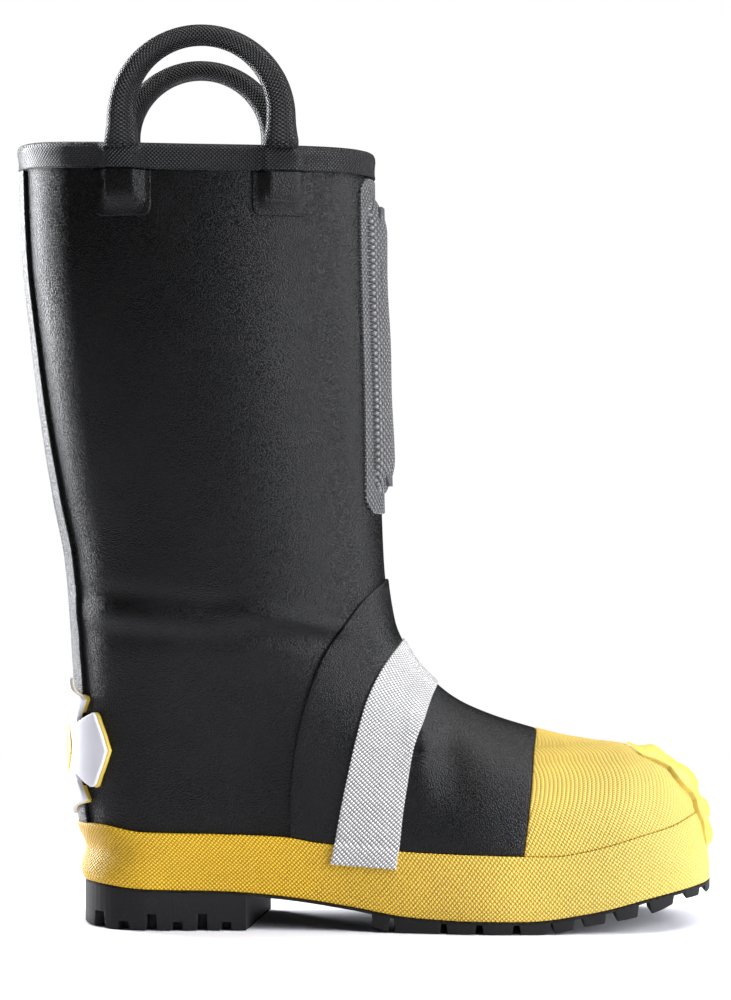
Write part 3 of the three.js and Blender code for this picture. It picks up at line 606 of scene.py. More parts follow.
def sole_ring(offset, height):
    """Ring round the sole at an offset, at a height above the underside of the upper."""
    ring = surface_rows(SOLE_ROW, offset, SOLE_ROW + 1)[0].copy()
    ring[:, 2] = shell_bottom(GRID[0][SOLE_ROW][:, 0]) + height
    return ring


def cup(name, outer, inner, base, floor):
    """Open-topped cup between two offsets, with its underside and floor at heights above the sole."""
    outside = surface_rows(SOLE_ROW, outer)
    inside = surface_rows(SOLE_ROW, inner)[::-1]
    low = shell_bottom(GRID[0][SOLE_ROW][:, 0])
    outside = np.where(outside[..., 2:] < (low + base)[None, :, None], np.nan, outside)
    inside = np.where(inside[..., 2:] < (low + floor)[None, :, None], np.nan, inside)
    outside = fill_low(outside, sole_ring(outer, base))
    inside = fill_low(inside[::-1], sole_ring(inner, floor))[::-1]
    rings = np.concatenate([outside, inside])
    points, faces = ring_mesh(rings)
    return make_piece(name, points, faces, wall_grain(rings, faces), WALL_SHARP)


def fill_low(rings, lowest):
    """Sets each ring's missing points, those below a floor, on the floor's ring."""
    filled = np.where(np.isnan(rings), lowest[None], rings)
    filled[0] = lowest
    return filled


def wall_grain(rings, faces):
    """Grain coordinates of rings round the boot: distance from the front crest, and from ring to ring.
    The rings may close on themselves."""
    height, around = rings.shape[:2]
    along = running(np.linalg.norm(np.roll(rings, -1, 0) - rings, axis=2).mean(1))
    arc = GRID[2][-1]
    uvs = []
    for face in faces:
        side = -1 if max(v % around for v in face) <= around // 2 else 1
        rows = [v // around for v in face]
        wraps = max(rows) - min(rows) > 1
        for v, row in zip(face, rows):
            run = along[height] if wraps and row == 0 else along[row]
            uvs.append((side * arc[v % around], run))
    return uvs


def upper_shell():
    shell = cup("rubber_upper", 0, UPPER_INNER, 0, -UPPER_INNER)
    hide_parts("upper_shell")
    return shell


def weld(piece):
    """Merges points that lie on one another."""
    mesh = bmesh.new()
    mesh.from_mesh(piece.data)
    bmesh.ops.dissolve_degenerate(mesh, dist=1e-6, edges=mesh.edges)
    mesh.to_mesh(piece.data)
    mesh.free()


def lining():
    felt = cup("felt_lining", LINING_OUTER, LINING_INNER, LINING_BASE, LINING_FLOOR)
    weld(felt)
    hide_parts("lining")
    return felt


def footbed():
    """Loose foam insole with a soft upper edge and a slight dish."""
    levels = [(0.5, 11.9), (0, 12.4), (0, 15.2), (0.4, 16.2), (1.4, 16.6), (6, 16.1), (14, 15.4)]
    rings = np.stack([sole_ring(FOOTBED_OFFSET - inset, height) for inset, height in levels])
    points, faces = ring_mesh(rings)
    piece = make_piece("foam_footbed", points, faces, sharp=60)
    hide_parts("footbed")
    return piece


def vamp_overlay():
    cuts = [ahead_of(OVERLAY_REAR), behind(TOE_COVER_REAR, SEAM_GAP), over(foxing_top, SEAM_GAP)]
    piece = layer("vamp_cover", cuts, OVERLAY)
    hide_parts("vamp_overlay")
    return piece


def toe_cover():
    piece = layer("knurled_toe_cover", [ahead_of(TOE_COVER_REAR), over(foxing_top, SEAM_GAP)], TOE_COVER)
    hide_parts("toe_cover")
    return piece


def toe_flare(x):
    """How far the foot of the foxing and the outsole spread at the toe."""
    return TOE_FLARE * smoothstep(x, 135, 170)


def foxing_bulge(skin):
    """The band stands out a little between its edges, rolls at the heel and flares at the toe."""
    x, _, z = skin.place()
    share = (z - foxing_bottom(x)) / (foxing_top(x) - foxing_bottom(x))
    heel = smoothstep(-x, 100, 140)
    roll = 2.4 * np.exp(-(((z - 28.5) / 5.5) ** 2)) - 0.5 * np.exp(-(((z - 29) / 1.1) ** 2))
    flare = toe_flare(x) * (1 - smoothstep(z, 24, 54))
    return FOXING + flare + 1.2 * share * (1 - share) + heel * (roll - 0.8 * np.exp(-(((z - 40) / 6) ** 2)))


def foxing_band():
    piece = layer("knurled_foxing", [over(foxing_bottom), under(foxing_top)], foxing_bulge, 0.9)
    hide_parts("foxing_band")
    return piece


def strip_height(skin):
    """The strip steps up over the foxing at its lower end."""
    x, _, z = skin.place()
    rise = 1 - smoothstep(z - foxing_top(x), STRIP_STEP[0], STRIP_STEP[-1])
    return STRIP + (STRIP_OVER - STRIP + 0.2) * rise


def strip_grain(skin):
    """Knurl across the strip and up it to the crest."""
    x, y, z = skin.place()
    return np.stack([edge_field(STRIP_REAR, x, z), np.abs(y - toe_swing(x)) - z], 1)


def reflective_strip():
    cuts = [ahead_of(STRIP_REAR), behind(STRIP_FRONT), over(lambda x: STRIP_LOW - STRIP_TILT * x)]
    step = (over(foxing_top), STRIP_STEP)
    piece = layer("knurled_strip", cuts, strip_height, 0.5, STRIP_FLOOR, [step], strip_grain)
    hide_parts("reflective_strip")
    return piece


def back_stay():
    width = at_back(lambda x, y, z: STAY_HALF_WIDTH - np.abs(y))
    cuts = [width, over(foxing_top, SEAM_GAP), under(rim_z, BINDING_HEIGHT + BINDING_GAP)]
    piece = layer("heel_stay", cuts, BACK_STAY, 0.45)
    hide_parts("back_stay")
    return piece


def badge_outline(scale):
    """Outline of the cross, from its right upper quarter."""
    right = BADGE_QUARTER + [(y, -z) for y, z in BADGE_QUARTER[-2::-1]]
    left = [(-y, z) for y, z in right[-2:0:-1]]
    return [(y * scale * BADGE["narrow"], BADGE["z"] + z * scale) for y, z in right + left]


def heel_badge():
    """Four-armed cross on the heel: a base, a raised face and a plain domed disc."""
    def cross(scale):
        outline = badge_outline(scale)
        return at_back(lambda x, y, z: polygon_field(outline, y, z))

    def disc(x, y, z):
        return BADGE["radius"] - np.hypot(y, z - BADGE["z"])

    def dome(skin):
        x, y, z = skin.place()
        return BADGE_LAYERS["disc"][1] - 0.5 * (1 - disc(x, y, z) / BADGE["radius"]) ** 2

    edge = BADGE["edge"]
    floor, top = BADGE_LAYERS["base"]
    base = layer("cross_base", [cross(1)], top, edge, floor)
    floor, top = BADGE_LAYERS["face"]
    face = layer("cross_face", [cross(BADGE["face_scale"])], top, edge, floor)
    centre = layer("cross_disc", [at_back(disc)], dome, edge, BADGE_LAYERS["disc"][0])
    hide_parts("heel_badge_base")
    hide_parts("heel_badge_face")
    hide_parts("heel_badge_disc")
    return base, face, centre


def tongue_outline():
    """Plan of the toe bumper: a rounded tongue that points back."""
    tip, shoulder, half = BUMPER["tip"], BUMPER["shoulder"], BUMPER["half"]
    middle = float(toe_swing(shoulder))
    blend = (tip + shoulder) / 2
    ends = [(shoulder, half), (blend, half), (tip, half / 2), (tip, 0)]
    outline = []
    for t in np.linspace(0, 1, 25).tolist():
        weights = ((1 - t) ** 3, 3 * t * (1 - t) ** 2, 3 * t * t * (1 - t), t ** 3)
        x = sum(w * p[0] for w, p in zip(weights, ends))
        outline.append((x, sum(w * p[1] for w, p in zip(weights, ends))))
    near = [(x, middle - y) for x, y in outline]
    far = [(x, middle + y) for x, y in outline[-2::-1]]
    return [(BEYOND_TOE, middle - half)] + near + far + [(BEYOND_TOE, middle + half)]


RIB_CRESTS = [float(np.interp(z, CREST_Z, CREST_LENGTH)) for z in BUMPER_RIBS]


def rib_wave(crest):
    """Rounded cross ribs: 1 at each rib's crown and 0 between ribs."""
    wave = np.zeros(len(crest))
    for middle in RIB_CRESTS:
        share = np.clip(1 - ((crest - middle) / RIB_REACH) ** 2, 0, 1)
        wave = np.maximum(wave, np.sqrt(share))
    return wave


def toe_bumper():
    """Smooth tongue over the toe with scalloped sides, cross ribs and a thin foot."""
    outline, lines = tongue_outline(), edge_lines(BUMPER_RADIUS)
    skin = FULL.copy()
    x, y, z = skin.place()
    scallop = SCALLOP * rib_wave(skin.data[:, CREST]) - SCALLOP_INSET
    side = skin.trim(polygon_field(outline, x, y) + scallop, *lines, 4)
    x, y, z = skin.place()
    foot = skin.trim(z - BUMPER["bottom"], *lines)
    x, y, z = skin.place()
    ribs = rib_wave(skin.data[:, CREST]) * smoothstep(skin.data[:, side], 0.5, 4.5)
    ribs = ribs * smoothstep(x, 140, 150)
    plate = BUMPER["plate"] + (BUMPER["outer"] - BUMPER["plate"]) * smoothstep(x, 138, 158)
    thin = 1.6 * (1 - smoothstep(z, BUMPER["bottom"], BUMPER["bottom"] + 9))
    top = plate + (BUMPER["rib"] - plate) * ribs - thin - edge_drop(skin, [side, foot], BUMPER_RADIUS)
    piece = solid_piece("ribbed_bumper", skin, BUMPER_FLOOR, top)
    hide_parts("toe_bumper")
    return piece


def shin_pad():
    """Foam pad under a moulded skin, with a flat flange and a domed middle."""
    def flange(x, y, z):
        return np.where(x > PAD_X, box_field(y, z, PAD), FAR_OUTSIDE)

    def core(x, y, z):
        return box_field(y, z, PAD_CORE, CORE_GROWTH)

    def crown(skin):
        x, y, z = skin.place()
        ends = smoothstep(np.minimum(z - PAD_CORE["low"], PAD_CORE["high"] - z), -3, 14)
        rise = round_edge(core(x, y, z) + 1.0, CROWN_RADIUS) * (0.5 + 0.5 * ends)
        waves = 0.25 * np.sin(z / 9) * smoothstep(core(x, y, z), 0, 6)
        return PAD["flange"] + (PAD["crown"] - PAD["flange"]) * rise + waves

    steps = (core, (-1.0, -0.5, 0.2, 1.2, 2.6, 4.4, 6.6, 9.2))
    piece = layer("shin_pad_skin", [flange], crown, 0.8, extra=[steps], sharp=60)
    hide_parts("shin_pad_cover")
    return piece


FOOT_STEPS = {"rear": -HANDLE["span"], "front": HANDLE["span"]}
FEET = [(side, middle + step) for side, middle in HANDLES.values() for step in FOOT_STEPS.values()]


def rim_bulge():
    """Share of the stand-off over the handle feet, at each column of the rim."""
    top = GRID[0][-1]
    columns = np.arange(len(top))
    side = np.where(columns <= len(top) // 2, -1, 1)
    bulge = np.zeros(len(top))
    for foot_side, foot_x in FEET:
        near = 1 - smoothstep(np.abs(top[:, 0] - foot_x), FOOT_HALF_WIDTH - 1, FOOT_HALF_WIDTH + 4.5)
        bulge = np.maximum(bulge, np.where(side == foot_side, near, 0))
    return bulge


def top_binding():
    """Moulded strip folded over the rim, standing out over the handle feet."""
    tall, lift = BINDING_HEIGHT, BINDING_OVER
    section = [
        (BEDDED, -tall, 0), (0.9, -tall, 0.6), (1.5, -tall + 0.2, 1), (BINDING_OUTER, -tall + 0.8, 1),
        (BINDING_OUTER - 0.25, -tall + 2.2, 1), (BINDING_OUTER - 0.2, -tall + 4.5, 1),
        (BINDING_OUTER, -4.0, 1), (BINDING_OUTER + 0.3, -2.0, 1), (BINDING_OUTER + 0.2, -0.2, 0.9),
        (1.4, 1.2, 0.7), (0.5, lift - 0.2, 0.4), (-1.0, lift + 0.2, 0.1), (-3.5, lift + 0.3, 0),
        (-6.0, lift + 0.2, 0), (-7.7, lift - 0.3, 0), (-8.5, lift - 1.2, 0), (BINDING_INNER, -0.6, 0),
        (BINDING_INNER, -tall + 1, 0), (-8.4, -tall, 0), (-7.0, -tall, 0), (-7.0, -0.2, 0),
        (BEDDED, -0.2, 0),
    ]
    points, normals = GRID[0], GRID[1]
    rows = slice(-8, None)
    bulge = rim_bulge()[:, None] * (FOOT_COVER - BINDING_OUTER)
    rings = []
    for offset, height, share in section:
        at = points[-1][:, 2] + min(height, 0)
        place = np.stack([
            np.stack([np.interp(at[k], points[rows, k, 2], points[rows, k, axis]) for axis in range(3)])
            for k in range(points.shape[1])
        ])
        lifted = place + np.array([0, 0, max(height, 0)])
        rings.append(lifted + normals[-1] * (offset + bulge * share))
    rings = np.stack(rings)
    mesh_points, faces = ring_mesh(rings, closed=True)
    piece = make_piece("rim_binding", mesh_points, faces, wall_grain(rings, faces), WALL_SHARP)
    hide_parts("top_binding")
    return piece


def handle_patch(name, side, place, middle):
    """Rubber patch over the lower end of a handle foot, swelling over it."""
    def swell(skin):
        x, _, z = skin.place()
        wide = 1 - smoothstep(np.abs(x - middle), FOOT_HALF_WIDTH - 2, PATCH_HALF_WIDTH - 2)
        rise = wide * smoothstep(z, PATCH_BOTTOM + 1.5, FOOT_BOTTOM + 5)
        return 0.75 + (FOOT_COVER - 1.1) * rise

    def reach(x, y, z):
        return np.abs(x - middle)

    def plate(x, y, z):
        box = {"half": PATCH_HALF_WIDTH, "low": PATCH_BOTTOM, "high": PATCH_TOP, "corner": 4}
        return box_field(x - middle, z, box)

    cuts = [at_side(side), plate, under(rim_z, BINDING_HEIGHT + BINDING_GAP)]
    lines = (reach, [FOOT_HALF_WIDTH + step for step in (-2, 0, 2, 4)])
    piece = layer(f"foot_cover_{name}_{place}", cuts, swell, 0.7, extra=[lines], sharp=60)
    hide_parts(f"handle_patch_{name}_{place}")
    return piece


# ---------- handles ----------

HANDLE_SIDES, HANDLE_STEPS = 28, 56


def handle_ring(x, y, z, lean, width, depth):
    """Rounded section of a handle; lean turns it to follow the arch."""
    turn = np.arange(HANDLE_SIDES) * 2 * math.pi / HANDLE_SIDES
    across = np.sign(np.cos(turn)) * np.abs(np.cos(turn)) ** 0.85 * width / 2
    thick = np.sign(np.sin(turn)) * np.abs(np.sin(turn)) ** 0.85 * depth / 2
    return np.stack([x + across * math.cos(lean), y - thick, z + across * math.sin(lean)], 1)


def pull_handle(name):
    """Arched grip whose two roots swell where they run down into the binding."""
    side, middle = HANDLES[name]
    y, span = side * HANDLE["y"], HANDLE["span"]
    leg, crown, depth = HANDLE["leg"], HANDLE["crown"], HANDLE["depth"]
    rise_height = HANDLE["top"] - HANDLE["straight"]
    roots = [(390.5, 1.12, 0.62), (391.5, 1.2, 0.86), (394, 1.2, 1.0), (397.5, 1.12, 1.02), (402, 1.03, 1.0)]
    rings = [handle_ring(middle + span, y, z, 0, leg * wide, depth * deep) for z, wide, deep in roots]
    for i in range(HANDLE_STEPS + 1):
        turn = math.pi * i / HANDLE_STEPS
        rise = math.sin(turn)
        x = middle + span * math.cos(turn)
        z = HANDLE["straight"] + rise_height * rise
        lean = math.atan2(span * rise, rise_height * math.cos(turn))
        rings.append(handle_ring(x, y, z, lean, leg + (crown - leg) * rise, depth))
    back = reversed(roots)
    rings += [handle_ring(middle - span, y, z, math.pi, leg * wide, depth * deep) for z, wide, deep in back]
    rings = np.stack(rings)
    points, faces = ring_mesh(rings)
    piece = make_piece(f"grip_{name}", points, faces, grip_grain(rings, faces), 60)
    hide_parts(f"pull_handle_{name}")
    return piece


# ---------- outsole ----------

def flared_ring(offset, height=0.0):
    """As sole_ring, with the flare at the toe."""
    ring = sole_ring(offset, height)
    return ring + GRID[1][SOLE_ROW] * toe_flare(ring[:, 0])[:, None]


def sole_outline(side, offset):
    """Half of the sole's plan outline at an offset, as y by x."""
    ring = flared_ring(offset)
    half = len(ring) // 2
    line = ring[:half + 1] if side < 0 else np.concatenate([ring[half:], ring[:1]])[::-1]
    xs, ys = line[::-1, 0], line[::-1, 1]
    return lambda x: np.interp(x, xs, ys)


def tread_block(x0, x1, inner_y, outer_y, side, upright=False):
    """Lug between two x positions, with rounded lower edges. Its ends slope, or its front is upright."""
    depth_share = [(0, 0.02), (0.5, 0.55), (0.85, 0.92), (1.3, 1)]
    slope = depth_share[-1][0]
    rears = [(x0 + step, share) for step, share in depth_share]
    count = max(2, int((x1 - x0 - 2 * slope) / 1.6))
    middle = [(x, 1) for x in np.linspace(x0 + slope, x1 - slope, count + 1)[1:-1]]
    fronts = [(x1 - step, share) for step, share in depth_share[::-1]]
    if upright:
        fronts = [(x1 - 0.6, 1), (x1, 0.9)]
    sections = []
    for x, share in rears + middle + fronts:
        top = float(foxing_bottom(x)) - LUG_SINK
        low = top + (float(tread_bottom(x)) - top) * share
        edge = min(LUG_EDGE, (top - low) * 0.4)
        a, b = float(inner_y(x)), float(outer_y(x))
        ring = [
            (a, top), (b, top), (b, low + edge), (b - side * edge * 0.3, low + edge * 0.3),
            (b - side * edge, low), (a + side * edge, low), (a + side * edge * 0.3, low + edge * 0.3),
            (a, low + edge),
        ]
        if side > 0:
            ring = [ring[0]] + ring[:0:-1]
        sections.append(np.array([(x, y, z) for y, z in ring]))
    return ring_mesh(np.stack(sections))


def merge(blocks):
    """One list of points and faces from several."""
    points, faces, start = [], [], 0
    for block_points, block_faces in blocks:
        points.append(block_points)
        faces += [[v + start for v in face] for face in block_faces]
        start += len(block_points)
    return np.concatenate(points), faces


def sole_plate():
    """Thin plate under the whole sole, with a step that sits inside the foxing."""
    under_edge, plate_top = -WELT_INSET - 0.3, -0.5
    levels = [(FOXING - 0.4, -WELT_INSET - 1.6), (FOXING, -WELT_INSET - 1.2), (FOXING, under_edge),
              (-0.1, under_edge), (-0.1, plate_top)]
    rings = []
    for offset, height in levels:
        ring = flared_ring if offset > 0 else sole_ring
        rings.append(ring(offset, height))
    return ring_mesh(np.stack(rings))


def edge_lugs():
    """Lugs along both edges, and one at the toe on each side."""
    blocks = []
    for side in (-1, 1):
        outer, inner = sole_outline(side, FOXING), sole_outline(side, -LUG_DEPTH)
        last = float(flared_ring(-LUG_DEPTH)[:, 0].max())

        def inner_y(x, side=side, inner=inner, last=last):
            return inner(x) if x < last else float(toe_swing(x)) - side

        for x0, x1 in LUGS:
            blocks.append(tread_block(x0, x1, inner_y, outer, side))
        tip = float(flared_ring(FOXING)[:, 0].max()) - TOE_LUG_GAP
        blocks.append(tread_block(TOE_LUG, tip, inner_y, outer, side, upright=True))
    return blocks


def centre_lugs():
    inner, outer = CENTRE_LUG_SIDES
    return [tread_block(x0, x1, lambda x: inner, lambda x: outer, 1) for x0, x1 in CENTRE_LUGS]


def heel_columns(side):
    """Half outline of the heel: its side, as x, y and outward x, y, and its breast, as x and y."""
    ring = surface_rows(SOLE_ROW, 0, SOLE_ROW + 1)[0]
    normal = GRID[1][SOLE_ROW]
    half = len(ring) // 2
    index = np.arange(half + 1) if side < 0 else np.arange(len(ring), half - 1, -1) % len(ring)
    x, y = ring[index, 0], ring[index, 1]
    nx, ny = normal[index, 0], normal[index, 1]
    length = running(np.hypot(np.diff(x), np.diff(y)))
    breast = HEEL_BREAST[side]
    middle_x = (HEEL_BREAST[-1] + HEEL_BREAST[1]) / 2
    start = float(np.interp(-breast, -x, length))
    at = np.linspace(start, length[-1], 190)
    side_line = [np.interp(at, length, value) for value in (x, y, nx, ny)]
    across = np.linspace(0, 1, 12, endpoint=False)
    corner = np.array([side_line[0][0], side_line[1][0]]) + FOXING * np.array([0, side])
    breast_line = [middle_x + (corner[0] - middle_x) * across, corner[1] * across]
    return side_line, breast_line


def heel_ring(z, inset):
    """Outline of the heel block at a height, with the side grooves."""
    halves = []
    for side in (-1, 1):
        (x, y, nx, ny), (bx, by) = heel_columns(side)
        groove = np.zeros(len(x))
        for middle, height in HEEL_GROOVES:
            wide = GROOVE_HALF - 0.8 * z / height
            cut = (1 - smoothstep(np.abs(x - middle), wide - 0.25, wide + 0.35)) * (z < height)
            groove = np.maximum(groove, cut * (np.abs(ny) > 0.5))
        out = FOXING - inset - GROOVE_DEPTH * groove
        sides = np.stack([x + nx * out, y + ny * out], 1)
        breast = np.stack([bx - inset, by], 1)
        halves.append(np.concatenate([breast, sides]))
    return np.concatenate([halves[0], halves[1][-2:0:-1]])


def heel_block():
    """Heel with a flat breast and upright grooves in its sides."""
    levels = [(0, 1.1), (0.3, 0.4)] + [(z, 0) for z in (1, 4.2, 4.35, 8.1, 8.25, 11, 13, 1e9)]
    rings = []
    for height, inset in levels:
        plan = heel_ring(height, inset)
        top = foxing_bottom(plan[:, 0]) - LUG_SINK
        rings.append(np.column_stack([plan, np.minimum(height, top)]))
    return ring_mesh(np.stack(rings))


def outsole():
    blocks = [sole_plate(), *edge_lugs(), *centre_lugs(), heel_block()]
    points, faces = merge(blocks)
    piece = make_piece("lugged_outsole", points, faces, sharp=35)
    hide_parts("outsole")
    return piece


# ---------- materials ----------

def add_node(tree, kind, inputs=None, **settings):
    made = tree.nodes.new(kind)
    for key, value in settings.items():
        setattr(made, key, value)
    for socket, value in (inputs or {}).items():
        if isinstance(value, bpy.types.NodeSocket):
            tree.links.new(value, made.inputs[socket])
        else:
            made.inputs[socket].default_value = value
    return made


def new_material(name, **values):
    """A material whose shader has the given constant values, by input name with _ for spaces."""
    material = bpy.data.materials.new(name)
    material.use_nodes = True
    shader = material.node_tree.nodes["Principled BSDF"]
    for key, value in values.items():
        shader.inputs[key.replace("_", " ")].default_value = value
    return material, material.node_tree, shader


def feed(tree, shader, **values):
    """Links values to the shader's inputs, by name with _ for spaces."""
    for key, value in values.items():
        tree.links.new(value, shader.inputs[key.replace("_", " ")])


def math_node(tree, operation, a, b=0.0):
    return add_node(tree, "ShaderNodeMath", {0: a, 1: b}, operation=operation).outputs[0]


def ramp(tree, value, stops):
    """Colour ramp from (position, colour) stops."""
    made = add_node(tree, "ShaderNodeValToRGB", {"Fac": value})
    elements = made.color_ramp.elements
    while len(elements) < len(stops):
        elements.new(0.5)
    for element, (position, colour) in zip(elements, stops):
        element.position = position
        element.color = colour
    return made.outputs["Color"]


def spread(tree, value, low, high, to_low, to_high):
    """A value moved from one range to another, and held inside it."""
    inputs = {"Value": value, "From Min": low, "From Max": high, "To Min": to_low, "To Max": to_high}
    return add_node(tree, "ShaderNodeMapRange", inputs).outputs["Result"]


def grey(value):
    """A grey with a slight blue cast."""
    return (value, value, value * 1.05, 1)


def noise(tree, scale, detail=3.0, rough=0.55):
    """Noise over the object's own coordinates, in metres."""
    place = add_node(tree, "ShaderNodeTexCoord").outputs["Object"]
    inputs = {"Vector": place, "Scale": scale, "Detail": detail, "Roughness": rough}
    return add_node(tree, "ShaderNodeTexNoise", inputs).outputs["Fac"]


def cells(tree, scale):
    """Distance to the nearest of scattered points, over the object's own coordinates."""
    place = add_node(tree, "ShaderNodeTexCoord").outputs["Object"]
    return add_node(tree, "ShaderNodeTexVoronoi", {"Vector": place, "Scale": scale}).outputs["Distance"]


def bump(tree, shader, height, distance):
    inputs = {"Height": height, "Distance": distance, "Strength": 1.0}
    made = add_node(tree, "ShaderNodeBump", inputs)
    feed(tree, shader, Normal=made.outputs["Normal"])


def pebbled_rubber(name, dark, light, pebble, depth, rough):
    """Black rubber with a fine pebbled grain and a slightly uneven sheen."""
    material, tree, shader = new_material(name, Specular_IOR_Level=0.22)
    grain = cells(tree, 1 / pebble)
    patch = noise(tree, 28, 3)
    fine = noise(tree, 2400, 2)
    pits = math_node(tree, "MULTIPLY", grain, -1.0)
    height = math_node(tree, "ADD", pits, math_node(tree, "MULTIPLY", fine, 0.35))
    colour = ramp(tree, patch, [(0.3, grey(dark)), (0.7, grey(light))])
    low = spread(tree, patch, 0.3, 0.7, rough - 0.05, rough + 0.05)
    speck = spread(tree, grain, 0.1, 0.7, -0.06, 0.08)
    feed(tree, shader, Base_Color=colour, Roughness=math_node(tree, "ADD", low, speck))
    bump(tree, shader, height, depth)
    return material


def knurl_height(tree, pitch):
    """Diagonal lattice of small raised diamonds, over the grain coordinates."""
    grain = add_node(tree, "ShaderNodeUVMap", uv_map="grain").outputs["UV"]
    parts = add_node(tree, "ShaderNodeSeparateXYZ", {"Vector": grain})
    across, along = parts.outputs["X"], parts.outputs["Y"]
    turns = math.pi / pitch / math.sqrt(2)
    waves = []
    for way in ("ADD", "SUBTRACT"):
        slant = math_node(tree, "MULTIPLY", math_node(tree, way, across, along), turns)
        waves.append(math_node(tree, "ABSOLUTE", math_node(tree, "SINE", slant)))
    return math_node(tree, "MULTIPLY", *waves)


HEEL_END, TOE_END = -0.15, 0.17


def along_boot(tree):
    """0 at the heel and 1 at the toe."""
    place = add_node(tree, "ShaderNodeTexCoord").outputs["Object"]
    x = add_node(tree, "ShaderNodeSeparateXYZ", {"Vector": place}).outputs["X"]
    return spread(tree, x, HEEL_END, TOE_END, 0.0, 1.0)


def knurled(name, groove, face, pitch, depth, rough, fade=None, **values):
    """A knurled face with painted shade: its colour is darker between the diamonds. Fade is a paler colour
    painted on towards the toe as painted light.
    """
    material, tree, shader = new_material(name, **values)
    height = knurl_height(tree, pitch)
    # Painted shade: the groove colour darkens the recesses between the diamonds.
    colour = ramp(tree, height, [(0.0, groove), (0.5, face)])
    # Painted light: the colour turns paler towards the toe, where the front lights fall hardest; its darker
    # groove stop is painted shade.
    if fade:
        share = ramp(tree, along_boot(tree), [(0.35, grey(0.0)), (0.95, grey(1.0))])
        toe_light_colour = ramp(tree, height, [(0.0, tuple(0.55 * c for c in fade[:3]) + (1,)), (0.4, fade)])
        mixed = add_node(tree, "ShaderNodeMix", data_type="RGBA")
        for socket, value in ((0, share), (6, colour), (7, toe_light_colour)):
            tree.links.new(value, mixed.inputs[socket])
        colour = mixed.outputs[2]
    patch = spread(tree, noise(tree, 18, 2), 0.3, 0.7, 0.92, 1.08)
    shaded = add_node(tree, "ShaderNodeHueSaturation", {"Color": colour, "Value": patch}).outputs["Color"]
    uneven = spread(tree, noise(tree, 160, 2), 0.3, 0.7, rough - 0.05, rough + 0.05)
    feed(tree, shader, Base_Color=shaded, Roughness=uneven)
    bump(tree, shader, height, depth)
    return material


def plain(name, dark, light, rough, grain, depth, **values):
    """Smooth moulded surface with faint unevenness."""
    material, tree, shader = new_material(name, **values)
    colour = ramp(tree, noise(tree, 40, 3), [(0.3, dark), (0.7, light)])
    uneven = spread(tree, noise(tree, 220, 2), 0.3, 0.7, rough - 0.06, rough + 0.06)
    feed(tree, shader, Base_Color=colour, Roughness=uneven)
    bump(tree, shader, noise(tree, grain, 3), depth)
    return material


def specked_rubber():
    """Matte outsole rubber with fine dusty specks."""
    material, tree, shader = new_material("outsole_rubber", Specular_IOR_Level=0.25)
    speck = noise(tree, 1500, 2, 0.7)
    colour = ramp(tree, speck, [(0.35, grey(0.004)), (0.6, grey(0.009)), (0.78, grey(0.03))])
    feed(tree, shader, Base_Color=colour, Roughness=spread(tree, speck, 0.3, 0.7, 0.62, 0.8))
    bump(tree, shader, speck, 0.00012)
    return material


def felt():
    """Grey felt with short fibres."""
    material, tree, shader = new_material("lining_felt", Roughness=0.95, Sheen_Weight=0.4)
    fibre = noise(tree, 1300, 6, 0.75)
    feed(tree, shader, Base_Color=ramp(tree, fibre, [(0.3, grey(0.05)), (0.7, grey(0.12))]))
    bump(tree, shader, fibre, 0.0006)
    return material


def granules(name, dark, light, size, depth):
    """Pressed granules, such as cork or open foam."""
    material, tree, shader = new_material(name, Roughness=0.92)
    cell = cells(tree, 1 / size)
    feed(tree, shader, Base_Color=ramp(tree, cell, [(0.1, light), (0.75, dark)]))
    bump(tree, shader, cell, depth)
    return material


def brushed_steel():
    material, tree, shader = new_material("steel", Metallic=1.0)
    streak = noise(tree, 300, 5, 0.7)
    colour = ramp(tree, streak, [(0.3, grey(0.42)), (0.7, grey(0.6))])
    feed(tree, shader, Base_Color=colour, Roughness=spread(tree, streak, 0.3, 0.7, 0.28, 0.42))
    bump(tree, shader, streak, 0.00004)
    return material


